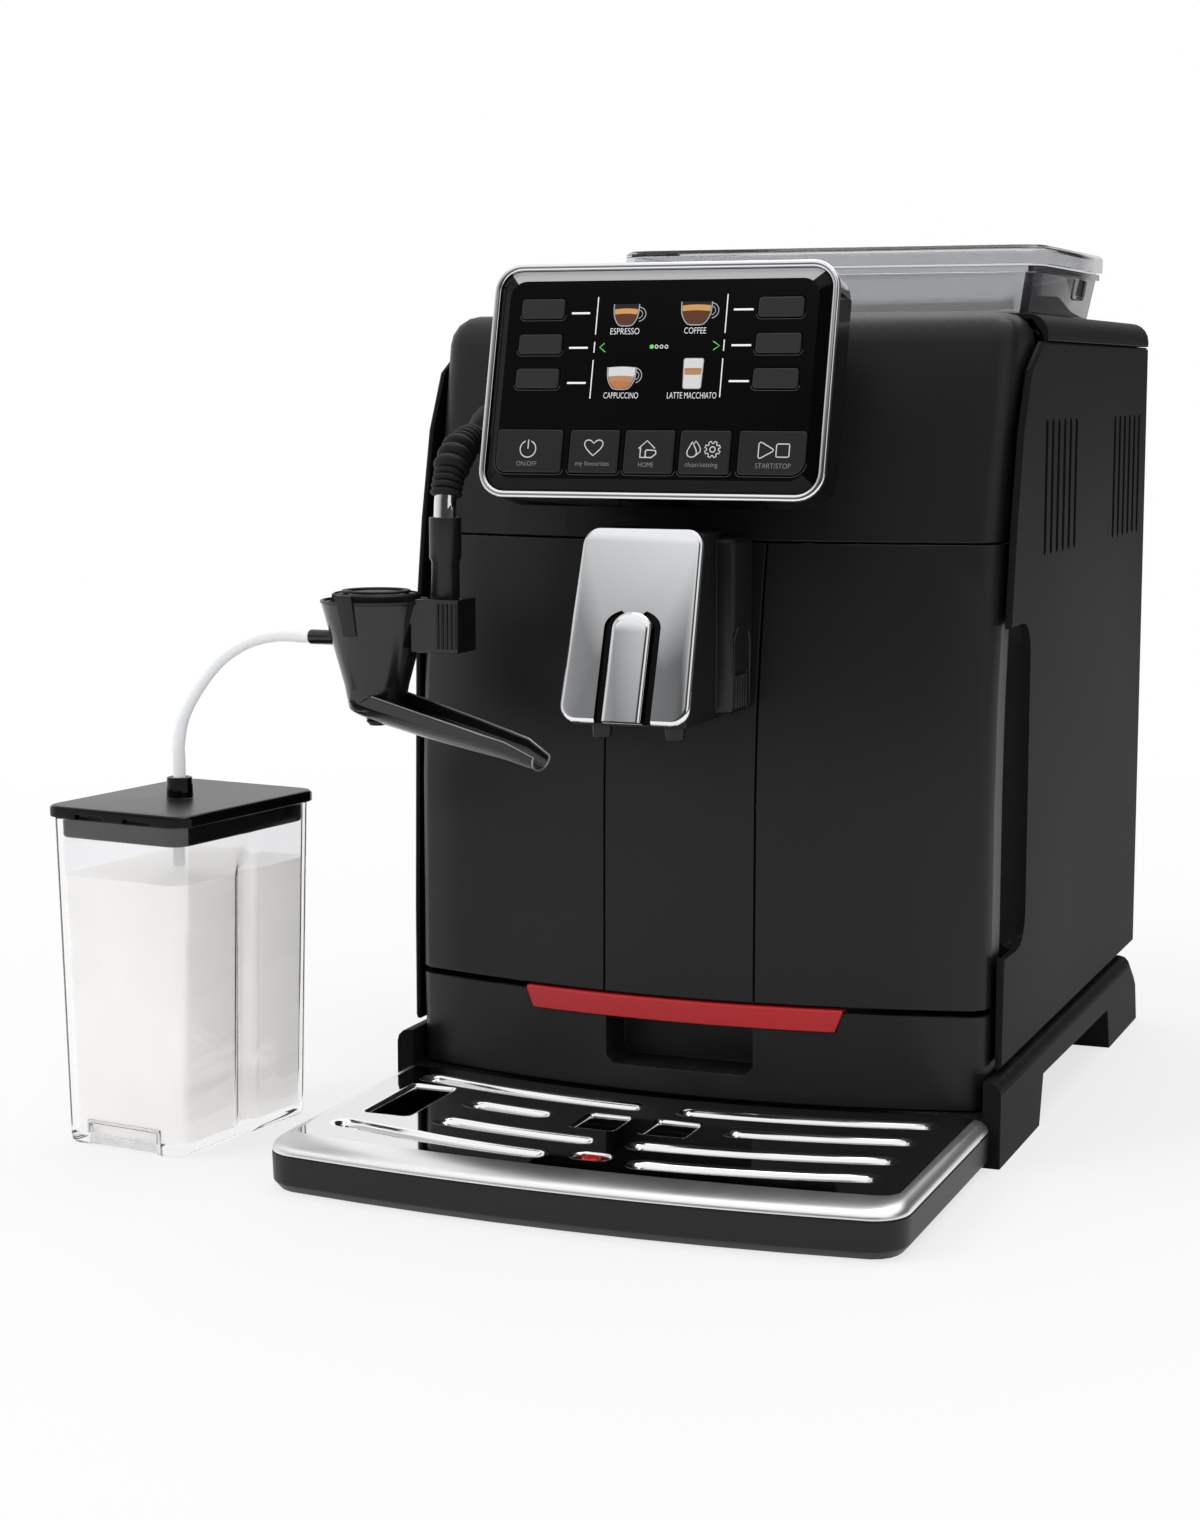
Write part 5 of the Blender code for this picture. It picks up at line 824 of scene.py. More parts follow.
# The line below each key is a painted highlight in light grey, this far from its seat.
SEAT_LINE = 0.0003  # from a key's seat to the line below it
FACE_GAP = 0.0001  # between the ring and the face
SOFT_X = (0.0393, 0.0572)
SOFT_ROWS = {"top": 0.0277, "middle": 0.0138, "bottom": 0.0003}
SOFT_HIGH = 0.0078
LOW_V = (-0.0366, -0.0198)
LOW_KEYS = {
    "power_key": (-0.0625, -0.0353, (0.0013, 0.0013, 0.0042, 0.0013)), "favourites_key": (-0.0322, -0.0120, 0.0012),
    "home_key": (-0.0097, 0.0104, 0.0012), "settings_key": (0.0126, 0.0328, 0.0012),
    "start_stop_key": (0.0360, 0.0625, (0.0013, 0.0013, 0.0013, 0.0056)),
}
key_shapes = {}
for side, sign in (("left", -1), ("right", 1)):
    for row, v in SOFT_ROWS.items():
        half = ((SOFT_X[1] - SOFT_X[0]) / 2, SOFT_HIGH / 2)
        key_shapes[f"soft_key_{side}_{row}"] = (half, 0.0014, (sign * sum(SOFT_X) / 2, v), "key_grey")
for name, (low, high, corner) in LOW_KEYS.items():
    half = ((high - low) / 2, (LOW_V[1] - LOW_V[0]) / 2)
    key_shapes[name] = (half, corner, ((low + high) / 2, sum(LOW_V) / 2), "key_dark")


def grown(corner, by):
    return tuple(r + by for r in corner) if isinstance(corner, tuple) else corner + by


face_half = [half - RING_WIDTH - FACE_GAP for half in PANEL_HALF]
face_corner = PANEL_CORNER - RING_WIDTH - FACE_GAP
flat_half = [half - CHAMFER_WIDTH for half in face_half]
face_outline = round_rect(*face_half, face_corner)
face = lofted([at_depth(face_outline, PLATE_BACK), at_depth(face_outline, -CHAMFER_DEEP),
               at_depth(round_rect(*flat_half, face_corner * 0.8), 0)])
for half, corner, centre, _ in key_shapes.values():
    hole = round_rect(half[0] + KEY_SEAT, half[1] + KEY_SEAT, grown(corner, KEY_SEAT), centre)
    face = carved(face, prism(hole, PLATE_BACK * 2, 0.01))
face_plate = piece("panel_face", moved(face, PANEL), "panel_black", "control_face", sharp=15)
panel_out = PANEL.to_3x3() @ Vector((0, 0, 1))
panel_up = PANEL.to_3x3() @ Vector((0, 1, 0))
# The chamfer faces that look upwards get the lighter grey copy: a painted sheen of the light from above.
repainted(face_plate, "panel_chamfer_painted_sheen", lambda polygon: 0.3 < polygon.normal.dot(panel_out) < 0.99
          and polygon.normal.dot(panel_up) > 0.3)
soften(face_plate, 0.00022, 2, 40)
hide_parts("control_face")
for name, (half, corner, centre, finish) in key_shapes.items():
    key = prism(round_rect(*half, corner, centre), PLATE_BACK, KEY_TOP)
    made = soften(piece(name + "_cap", moved(key, PANEL), finish, name), 0.0006, 3)
    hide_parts(name)
# Along the lower part of each key's outline lies a light grey line: a painted highlight of its seat.
painted_seat_highlights = []
for half, corner, centre, _ in key_shapes.values():
    around = round_rect(half[0] + KEY_SEAT + SEAT_LINE, half[1] + KEY_SEAT + SEAT_LINE,
                        grown(corner, KEY_SEAT + SEAT_LINE), centre)
    painted_seat_highlights.append(stroke([point for point in around if point[1] < centre[1] - half[1] * 0.4], 0.0002, thick=0.4))
PANEL_FILM = PANEL @ Matrix.Translation((0, 0, 0.00003))
piece("key_painted_seat_highlights", moved(joined(*painted_seat_highlights), PANEL_FILM), "painted_seat_highlight", "control_face")
print(len(key_shapes), "keys")

# %% [markdown]
# What the panel shows
#
# The display shows four drinks in glass cups with their names, two green arrows, and a row of
# dots for the page. Lines on the glass lead from each drink to its key. The keys carry plain
# symbols and words. Each is a thin solid of a few hundredths of a millimetre, drawn in
# millimetres in the panel's plane: printed outlines are flattened tubes, filled shapes are flat
# outlines laid over each other, and words are Blender's own font turned to a mesh.

# %% Display lines, arrows and dots
MM = 0.001
INK = 0.00004
PRINT_SHIFT = 2.5  # the print was measured off the picture from the right, so it moves back to the keys
LAYER = 0.00003
prints = {}  # what is printed in each finish on the face


def on_glass(finish, bm, layer=0, grow=MM):
    place = Matrix.Translation((PRINT_SHIFT * MM, 0, INK + LAYER * layer)) @ Matrix.Diagonal((grow, grow, 1, 1))
    prints.setdefault(finish, []).append(moved(bm, place))


def line(points, width):
    """A printed line in metres from points in millimetres."""
    return stroke([(u * MM, v * MM) for u, v in points], width * MM, thick=0.0001 / (width * MM))


for u, ends in ((-28.3, ((32.3, 17.6), (14.7, 10.5), (7.6, -7.5))), (24.2, ((32.9, 17.9), (15.3, 11.0), (8.1, -6.9)))):
    for high, low in ends:
        on_glass("screen_white", line(((u, low), (u, high)), 0.42), grow=1)
for low, high, v in ((-38.8, -31.3, 26.0), (-38.7, -31.0, 12.4), (-38.3, -30.6, -1.4),
                     (27.0, 34.8, 26.9), (27.2, 35.0, 13.1), (27.3, 35.3, -0.7)):
    on_glass("screen_white", line(((low, v), (high, v)), 0.75), grow=1)
for arrow in (((-24.2, 14.1), (-26.1, 12.6), (-23.7, 10.7)), ((19.8, 14.7), (22.4, 13.0), (20.1, 11.3))):
    on_glass("screen_green", line(arrow, 0.36), grow=1)


def round_shape(u, v, radius, steps=20):
    turns = [2 * math.pi * i / steps for i in range(steps)]
    return [(u + radius * math.cos(a), v + radius * math.sin(a)) for a in turns]


on_glass("screen_green", flat_shape(round_shape(-4.8, 12.7, 0.85), LAYER))
for u in (-2.85, -0.85, 1.15):
    ring = round_shape(u, 12.7, 0.62)
    on_glass("screen_white", line(ring + ring[:2], 0.26), grow=1)
print("lines, arrows and dots")


# %% Cups and words
def cup_side(left, right, low, high, share, inset=0.0):
    """A cup's outline up to a share of its height: the rim's width, down to a narrow foot."""
    profile = ((0.30, 0.0), (0.52, 0.035), (0.70, 0.15), (0.84, 0.31), (0.94, 0.48), (0.985, 0.68), (1.0, 1.0))
    middle, half = (left + right) / 2, (right - left) / 2
    points = []
    for (w0, h0), (w1, h1) in zip(profile, profile[1:]):
        if h0 >= share:
            break
        part = min(1.0, (share - h0) / (h1 - h0))
        if not points:
            points.append((w0, h0))
        points.append((w0 + (w1 - w0) * part, h0 + (h1 - h0) * part))
    side = [(half * w - inset, low + inset + (high - low - inset) * h) for w, h in points]
    return [(middle + w, v) for w, v in side], [(middle - w, v) for w, v in reversed(side)]


def cup(left, right, low, high, layers, handle):
    """A glass cup: outline, drink in layers of (finish, share of the height), and a handle of two lines."""
    rim_right, rim_left = cup_side(left, right, low, high, 1.0)
    on_glass("glass_line", line(rim_left + rim_right, 0.40), grow=1)
    on_glass("glass_dark", flat_shape(rim_right + rim_left, LAYER), -0.6)
    for depth, (finish, share) in enumerate(layers):
        up, down = cup_side(left, right, low, high, share, 0.35)
        (start, level), (end, _) = up[-1], down[0]
        crown = [(start + (end - start) * t, level + 0.35 * math.sin(math.pi * t)) for t in (0.2, 0.35, 0.5, 0.65, 0.8)]
        on_glass(finish, flat_shape(up + crown + down, LAYER), 1 + 0.6 * depth)
    reach, at = handle
    tall = (high - low) * 0.33
    turns = [math.radians(-80 + 160 * i / 12) for i in range(13)]
    for scale, width in ((1.0, 0.32), (0.58, 0.26)):
        bow = [(right - 0.3 + (reach - right + 0.3) * scale * math.cos(a), at + tall * scale * math.sin(a))
               for a in turns]
        on_glass("glass_line", line(bow, width), grow=1)


cup(-21.5, -11.2, 20.9, 29.4, (("crema_gold", 0.75), ("coffee_brown", 0.50)), (-8.3, 25.4))
cup(5.9, 18.2, 21.1, 30.1, (("crema_gold", 0.83), ("coffee_brown", 0.57)), (21.0, 26.6))
cup(-22.0, -10.3, -3.9, 4.7, (("milk_foam", 0.99), ("milk_coffee", 0.56), ("milk_caramel", 0.30)), (-7.9, 1.5))


def glass(low, high, inset=0.0):
    return [(9.0 + inset, low), (16.4 - inset, low), (16.8 - inset, high), (8.6 + inset, high)]


on_glass("glass_line", flat_shape(glass(-3.7, 8.2), LAYER, corner=0.9), 0)
on_glass("milk_foam", flat_shape(glass(-3.4, 8.0, 0.3), LAYER, corner=0.7), 1)
on_glass("milk_coffee", flat_shape(glass(0.6, 4.3, 0.55), LAYER, corner=0.2), 2)
on_glass("milk_caramel", flat_shape(glass(3.5, 4.3, 0.8), LAYER, corner=0.2), 3)
on_glass("milk_foam", flat_shape(glass(0.4, 1.7, 0.55), LAYER, corner=0.2), 4)
for words, box in (("ESPRESSO", (-22.2, -10.4, 17.6, 20.0)), ("COFFEE", (7.8, 16.6, 17.7, 20.1)),
                   ("CAPPUCCINO", (-22.8, -8.7, -7.4, -5.1)), ("LATTE MACCHIATO", (3.1, 22.8, -7.4, -5.0))):
    on_glass("screen_white", lettering(words, *(side * MM for side in box), LAYER), grow=1)
for finish, shapes in prints.items():
    piece("display_" + finish, moved(joined(*shapes), PANEL), finish, "display_board", sharp=60)
print(len(prints), "inks on the display")

# %% Symbols and words on the keys
key_prints = {name: [] for name in LOW_KEYS}


def arc(u, v, radius, start, stop, steps=24):
    return [(u + radius * math.cos(math.radians(start + (stop - start) * i / steps)),
             v + radius * math.sin(math.radians(start + (stop - start) * i / steps))) for i in range(steps + 1)]


def symbol(key, points, closed=False, width=0.42):
    key_prints[key].append(line(points + (points[:2] if closed else []), width))


symbol("power_key", arc(-51.8, -27.5, 3.25, 112, 428))
symbol("power_key", [(-51.8, -23.9), (-51.8, -27.4)])
heart = [(0, -6.1), (-1.4, -4.9), (-2.9, -3.4), (-3.7, -2.1), (-3.75, -1.1), (-3.2, -0.3), (-2.2, 0.0), (-1.1, -0.3),
         (0, -1.3)]
heart += [(-u, v) for u, v in reversed(heart[1:-1])]
symbol("favourites_key", [(-24.7 + u, -23.8 + v) for u, v in heart], True)
symbol("home_key", [(-6.3, -27.0), (-5.9, -26.6), (-3.0, -23.9), (0.3, -26.9)])
symbol("home_key", [(-5.5, -26.6), (-5.5, -30.4), (-0.9, -30.4), (0.9, -28.9), (0.6, -27.7), (-2.9, -27.5),
                    (-3.4, -28.0), (-3.4, -30.4)], width=0.5)
drop = [(0, 2.9), (-0.9, 1.3), (-1.75, -0.3), (-1.95, -1.4), (-1.4, -2.5), (0, -3.0), (1.4, -2.5), (1.95, -1.4),
        (1.75, -0.3), (0.9, 1.3)]
symbol("settings_key", [(15.2 + u, -27.2 + v) for u, v in drop], True)
symbol("settings_key", [(15.9, -25.0), (16.6, -23.9), (17.8, -25.4), (18.6, -27.0), (18.5, -28.0), (17.0, -29.3)],
       width=0.38)
gear = []
for tooth in range(8):
    for step, radius in ((-16, 2.35), (-9, 3.15), (9, 3.15), (16, 2.35)):
        angle = math.radians(45 * tooth + 22.5 + step)
        gear.append((23.4 + radius * math.cos(angle), -27.1 + radius * math.sin(angle)))
symbol("settings_key", gear, True)
symbol("settings_key", arc(23.4, -27.1, 1.05, 0, 375, 16))
symbol("start_stop_key", [(41.6, -24.9), (42.1, -24.2), (42.8, -24.3), (47.1, -26.7), (47.4, -27.2), (47.1, -27.7),
                          (42.6, -30.2), (42.0, -30.3), (41.6, -29.7)], True)
symbol("start_stop_key", round_rect(2.55, 2.5, 0.6, (51.1, -27.3), 4), True)
KEY_WORDS = (("power_key", "ON/OFF", (-56.1, -47.8, -34.1, -32.3)),
             ("favourites_key", "my favourites", (-31.6, -17.9, -34.4, -32.0)),
             ("home_key", "HOME", (-5.9, 0.2, -34.1, -32.3)),
             ("settings_key", "clean/setting", (12.9, 25.9, -34.4, -32.0)),
             ("start_stop_key", "START/STOP", (40.8, 54.6, -34.1, -32.2)))
for key, words, box in KEY_WORDS:
    top = PANEL @ Matrix.Translation((PRINT_SHIFT * MM, 0, KEY_TOP + 0.00001))
    dim = moved(lettering(words, *(side * MM for side in box), LAYER), top)
    piece(key + "_word", dim, "dim_print", key, sharp=60)
    bright = moved(joined(*key_prints[key]), top)
    piece(key + "_symbol", bright, "key_print", key, sharp=60)
print(len(key_prints), "keys printed")

# %% [markdown]
# The tray's cover
#
# The cover is deep drawn from polished stainless steel. Its rim rolls down to the front in one
# wide curve, about 20 mm deep, and narrower at the sides, and the edge of each slot is rolled
# over too, which is what catches the light in white bars. The rim is a loft through loops that
# follow a quarter turn. The slots are cut by one Boolean, and each gets its rolled lip as a
# loft of its own outline, drawn in step by step, because a Bevel modifier spills over where
# the Boolean has left long thin faces.

# %% Cover outline
COVER_HALF, COVER_FRONT, COVER_BOW, COVER_CORNER = 0.126, -0.206, 0.010, 0.015
COVER_LOW, COVER_SEAM, COVER_HIGH = 0.0150, 0.0152, 0.0200
MID_DEPTH = -0.120  # in front of this line the rim widens
SHELL_Y, SHELL_BOW, SHELL_HALF = -0.0785, 0.019, 0.122


def cover_rear(x):
    return min(-0.0679, SHELL_Y - 0.0018 + SHELL_BOW * (x / SHELL_HALF) ** 2)


def cover_ring(side, front, height, corner=10, across=20):
    """The cover from above, drawn in by side at its sides and by front at its front."""
    half, radius, flat = COVER_HALF - side, COVER_CORNER - side, COVER_HALF - COVER_CORNER
    shoulder = COVER_FRONT + COVER_BOW * (flat / COVER_HALF) ** 2 + COVER_CORNER
    points = [(x, cover_rear(x) - 0.25 * side) for x in (half - 2 * half * i / across for i in range(across + 1))]
    points += [(-flat + radius * math.cos(a), shoulder + radius * math.sin(a))
               for a in (math.radians(180 + 90 * i / corner) for i in range(corner + 1))]
    for i in range(1, across):
        x = flat * (2 * i / across - 1)
        points.append((x, COVER_FRONT + COVER_BOW * (x / COVER_HALF) ** 2 + side))
    points += [(flat + radius * math.cos(a), shoulder + radius * math.sin(a))
               for a in (math.radians(270 + 90 * i / corner) for i in range(corner + 1))]
    more = 1 - max(0.0, front - side) / (MID_DEPTH - COVER_FRONT)
    return [(x, y if y > MID_DEPTH else MID_DEPTH + (y - MID_DEPTH) * more, height) for x, y in points]


RIM_SIDE, RIM_FRONT = 0.0060, 0.0170
rolled = []
for angle in (0, 8, 18, 30, 43, 57, 73, 90):
    turn = math.radians(angle)
    shrink = 1 - math.cos(turn)
    rolled.append(cover_ring(0.0003 + (RIM_SIDE - 0.0003) * shrink, RIM_FRONT * shrink,
                             COVER_SEAM + (COVER_HIGH - COVER_SEAM) * math.sin(turn)))
cover = lofted([cover_ring(RIM_SIDE + 0.0002, RIM_FRONT + 0.0005, 0.0176), cover_ring(0.0026, 0.0035, 0.0162),
                cover_ring(0.0022, 0.0024, COVER_LOW), cover_ring(0.0003, 0, COVER_LOW), *rolled,
                cover_ring(RIM_SIDE + 0.0003, RIM_FRONT + 0.0003, COVER_HIGH)])
print("cover with", len(cover.faces), "faces before its slots")

# %% Slots and openings
FIELD = COVER_FRONT - SHELL_Y
SLOT_WIDE, SLOT_LIP = 0.0066, 0.0040  # half the slot with its lips, and how far a lip rolls
SLOT_ROWS = (
    (0.161, ((-0.873, -0.040), (0.055, 0.873))),
    (0.357, ((-0.603, -0.278), (0.274, 0.865))),
    (0.576, ((-0.611, -0.040), (0.048, 0.865))),
    (0.769, ((-0.897, -0.124), (0.119, 0.865))),
)
OPENINGS = (((-0.857, -0.698), (0.145, 0.522)), ((-0.188, -0.040), (0.270, 0.451)), ((0.038, 0.190), (0.270, 0.451)))
FLOAT_AT = (0, -0.172)


def slot_outline(share, low, high, half):
    """A slot that follows the bow of the machine's front, with round ends."""
    low, high = low * COVER_HALF + SLOT_WIDE, high * COVER_HALF - SLOT_WIDE
    middle = [(x, SHELL_Y + FIELD * share + SHELL_BOW * (x / SHELL_HALF) ** 2)
              for x in (low + (high - low) * i / 14 for i in range(15))]
    around = [(x, y - half) for x, y in middle] + arc(*middle[-1], half, -72, 72, 8)
    around += [(x, y + half) for x, y in reversed(middle)] + arc(*middle[0], half, 108, 252, 8)
    return around


WINDOW_LIP, WINDOW_CORNER, FLOAT_LIP = 0.0020, 0.0034, 0.0014
WINDOW_GROWN = 0.0008  # how far a window's lip lies outside its opening
holes = []  # each with its lip, and its outline at a distance inside the lip's outer edge
for share, spans in SLOT_ROWS:
    for low, high in spans:
        holes.append((SLOT_LIP, lambda inset, row=(share, low, high): slot_outline(*row, SLOT_WIDE - inset)))
for (left, right), (near, far) in OPENINGS:
    spot = ((left + right) * COVER_HALF / 2, SHELL_Y + FIELD * (near + far) / 2)
    half = ((right - left) * COVER_HALF / 2 + WINDOW_GROWN, -(far - near) * FIELD / 2 + WINDOW_GROWN)
    holes.append((WINDOW_LIP, lambda inset, half=half, spot=spot: round_rect(half[0] - inset, half[1] - inset,
                                                                             WINDOW_CORNER - inset, spot, 6)))
holes.append((FLOAT_LIP, lambda inset: round_rect(0.0086 - inset, 0.0060 - inset, 0.0058 - inset, FLOAT_AT, 8)))


def lip_of(wide, outline):
    """A hole's rolled edge: a quarter turn down into the hole, closed behind."""
    turns = [math.radians(angle) for angle in (0, 15, 30, 45, 60, 75, 90)]
    profile = [(-0.0001, COVER_HIGH + 0.00002)]
    profile += [(wide * math.sin(turn), COVER_HIGH + 0.00003 - wide * (1 - math.cos(turn))) for turn in turns]
    foot = COVER_HIGH - wide - 0.0005
    profile += [(wide, foot), (wide - 0.0006, foot), (-0.0001, COVER_HIGH - 0.0012)]
    return lofted([at_depth(outline(inset), z) for inset, z in profile], cyclic=True)


cover = carved(cover, joined(*[prism(outline(0.0002), 0.010, 0.030) for _, outline in holes]))
made = piece("tray_cover_rolled", cover, "mirror_steel", "tray_cover", sharp=35, outward=False)
repainted(made, "rolled_steel", lambda polygon: 0.05 < polygon.normal.z < 0.9995)
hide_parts("tray_cover")
piece("tray_cover_lips", joined(*[lip_of(*hole) for hole in holes]), "lip_steel", "tray_cover", sharp=40)
print(len(holes), "holes with rolled lips")

# %% [markdown]
# The milk jug
#
# The jug is blown from clear plastic, a little narrower at its foot, with an upright groove in
# one side for the fingers. It is full of milk to about 110 mm, so most of it looks white. The
# wall is a loft of rounded rectangles, up the outside and down the inside, and the milk is the
# same inside, a hair smaller, closed at its level. The lid's two clips are plain notches.

# %% Jug, milk and lid
JUG_PLACE = Matrix.Translation((-0.198, -0.124, 0)) @ Matrix.Rotation(math.radians(-8), 4, "Z")
JUG_HALF = (0.033, 0.045)
JUG_WALL = 0.0022
JUG_CORNER = 0.007
JUG_GROOVE = 0.0035
GROOVE_HALF = 0.0085
MILK_LEVEL = 0.110


def jug_ring(inset_x, inset_y, corner, height, groove):
    """A section of the jug; its right side has the groove."""
    half = (JUG_HALF[0] - inset_x, JUG_HALF[1] - inset_y)
    points = round_rect(*half, corner, steps=6)
    groove_ys = [-GROOVE_HALF + 2 * GROOVE_HALF * i / 12 for i in range(13)]
    turn = [(half[0] - groove * 0.5 * (1 + math.cos(math.pi * y / GROOVE_HALF)), y) for y in groove_ys]
    return [(x, y, height) for x, y in points + turn]


# height, drawn in at the sides, drawn in at the front, corner radius, share of the groove
LEVELS = ((0.0, 0.0045, 0.0030, 0.0055, 0.4), (0.0012, 0.0034, 0.0018, 0.0065, 0.8),
          (0.0032, 0.0030, 0.0015, 0.007, 1.0), (0.060, 0.0017, 0.0009, 0.007, 1.0),
          (0.1085, 0.0006, 0.0003, 0.007, 1.0), (0.113, 0.0005, 0.0002, 0.007, 0.5),
          (0.1185, 0.0003, 0.0002, 0.007, 0.0), (0.1330, 0.0, 0.0, 0.007, 0.0))
outside = [jug_ring(x, y, corner, z, JUG_GROOVE * share) for z, x, y, corner, share in LEVELS]
inside = [jug_ring(x + JUG_WALL, y + JUG_WALL, corner - JUG_WALL / 2, max(z, 0.0052), JUG_GROOVE * share)
          for z, x, y, corner, share in LEVELS[2:]]
FOOT_SIDE, FOOT_FRONT = LEVELS[2][1:3]
bottom = jug_ring(FOOT_SIDE + 2 * JUG_WALL, FOOT_FRONT + 2 * JUG_WALL, JUG_CORNER - JUG_WALL, 0.0032, JUG_GROOVE)
NOTCH_HALF, NOTCH_HIGH, NOTCH_DEEP = 0.0170, 0.0092, 0.0042


def notch_shape(grow, reach, low=-0.001):
    """The foot's notch as a solid, grown on its three inner sides."""
    front = -JUG_HALF[1]
    sections = []
    for z, share in ((low, 1.0), (NOTCH_HIGH - 0.0015 + grow, 1.0), (NOTCH_HIGH + grow, 0.86)):
        half, deep = NOTCH_HALF * (0.94 + 0.06 * share) + grow, (NOTCH_DEEP + grow) * share
        sections.append([(side * half, front + y, z) for side, y in ((-1, -reach), (1, -reach), (1, deep), (-1, deep))])
    return lofted(sections)


wall_shape = carved(lofted([*outside, *reversed(inside), bottom]), notch_shape(0.0, 0.004))
jug = piece("milk_jug_wall", moved(wall_shape, JUG_PLACE), "clear_plastic", "milk_jug")
soften(jug, 0.0003, 2, 40)
liner = carved(notch_shape(0.0012, -0.0023, 0.0004), notch_shape(0.0, 0.004))
piece("jug_notch", moved(liner, JUG_PLACE), "clear_plastic", "milk_jug")
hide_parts("milk_jug")
HAIR = 0.00012  # between the wall and the milk
MILK_CORNER = 0.0058
MILK_FOOT = (FOOT_SIDE + 2 * JUG_WALL + HAIR, FOOT_FRONT + 2 * JUG_WALL + HAIR)
milk_rings = [jug_ring(*MILK_FOOT, 0.0048, 0.0032 + HAIR, JUG_GROOVE)]
for z, x, y, share in ((0.0054, FOOT_SIDE, FOOT_FRONT, 1.0), (0.060, 0.0017, 0.0009, 1.0),
                       (0.1085, 0.0006, 0.0003, 1.0), (MILK_LEVEL, 0.0006, 0.0003, 0.8)):
    milk_rings.append(jug_ring(x + JUG_WALL + HAIR, y + JUG_WALL + HAIR, MILK_CORNER, z, JUG_GROOVE * share))
milk_shape = carved(lofted(milk_rings), notch_shape(0.0014, 0.004))
# The milk's glow is painted light.
piece("milk", moved(milk_shape, JUG_PLACE), "milk", "milk_jug")
lid_look = merged("jug_lid")
for u in (-0.012, 0.012):
    clip = prism(round_rect(0.0065, 0.0022, 0.0006, (u, -0.0455), 3), 0.1325, 0.1352)
    lid_look = carved(lid_look, moved(clip, JUG_PLACE))
made = soften(piece("jug_lid_gloss", lid_look, "panel_black", "jug_lid", outward=False), 0.0006)
repainted(made, "soft_black", lambda polygon: polygon.normal.z > 0.9)
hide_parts("jug_lid")
print("jug, milk to", MILK_LEVEL * 1000, "mm and lid")

# %% [markdown]
# The wand and the frother
#
# The steam wand's bend wears a rubber grip: three fine ribs at each end and three full ones in
# the middle, as a hand needs. It is a loft of circles round the bend whose radius swells with
# each rib. Below the chrome tube a black connector holds the milk frother, which is a funnel
# with a knurled cap, and a chute to the cup.

# %% Grip
WAND_X, BEND_START_Y, WAND_Z, BEND_RADIUS = -0.087, -0.079, 0.283, 0.029
GRIP_BORE = 0.0048
# from, to, number of ribs, radius in a groove, radius on a crest
RIBS = ((4, 26, 4, 0.0050, 0.0064), (26, 56, 3, 0.0054, 0.0074), (56, 76, 4, 0.0050, 0.0064))
GRIP_START, GRIP_STOP = RIBS[0][0], RIBS[-1][1]


def bend_ring(angle, radius, sides=28):
    """A circle round the wand's bend, square to it."""
    turn = math.radians(angle)
    centre = Vector((WAND_X, BEND_START_Y - BEND_RADIUS * math.sin(turn), WAND_Z - BEND_RADIUS * (1 - math.cos(turn))))
    outward = Vector((0, -math.sin(turn), math.cos(turn)))
    turns = [2 * math.pi * k / sides for k in range(sides)]
    return [centre + Vector((1, 0, 0)) * radius * math.cos(a) + outward * radius * math.sin(a) for a in turns]


grip_rings = [bend_ring(GRIP_START, GRIP_BORE)]
for start, stop, ribs, groove, crest in RIBS:
    steps = ribs * 8
    for i in range(steps + (stop == GRIP_STOP)):
        swell = abs(math.sin(math.pi * ribs * i / steps)) ** 0.7
        grip_rings.append(bend_ring(start + (stop - start) * i / steps, groove + (crest - groove) * swell))
grip_rings += [bend_ring(GRIP_STOP - (GRIP_STOP - GRIP_START) * i / 12, GRIP_BORE) for i in range(12)]
made = piece("wand_grip_ribbed", lofted(grip_rings, cyclic=True), "rubber", "wand_grip", sharp=50)
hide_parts("wand_grip")
print("grip of", len(grip_rings), "rings")

# %% Cap, tongue and bracket
FUNNEL_AT = Vector((-0.1165, -0.110, 0))


def round_the_funnel(radius, z, sides, dent=0.0):
    """A circle round the funnel's axis, every other point of it drawn in by a dent."""
    turns = [(2 * math.pi * k / sides, radius - dent * (k % 2)) for k in range(sides)]
    return [(FUNNEL_AT.x + r * math.cos(a), FUNNEL_AT.y + r * math.sin(a), z) for a, r in turns]


def turned_ring(profile, sides=48):
    """A ring turned from a closed profile of radius and height."""
    return lofted([round_the_funnel(r, z, sides) for r, z in profile], cyclic=True)


TEETH, TOOTH_DEEP = 60, 0.0005
KNURL_OUT, KNURL_IN = 0.0177, 0.0166
KNURL_LOW, KNURL_SHOULDER, KNURL_HIGH = 0.2172, 0.2220, 0.2227
knurl = [round_the_funnel(KNURL_OUT, z, 2 * TEETH, TOOTH_DEEP) for z in (KNURL_LOW, KNURL_SHOULDER)]
knurl += [round_the_funnel(KNURL_IN, z, 2 * TEETH) for z in (KNURL_HIGH, KNURL_LOW)]
piece("cap_knurl", lofted(knurl, cyclic=True), "matt_black", "frother_cap")
CAP_RING = ((0.0138, 0.2228), (0.0138, 0.2234), (0.0134, 0.2238), (0.0118, 0.2238), (0.0114, 0.2234),
            (0.0114, 0.2228))
piece("cap_ring", turned_ring(CAP_RING), "matt_black", "frother_cap")


def funnel_radius(z):
    return 0.013 + 0.009 * (z - 0.186) / 0.033


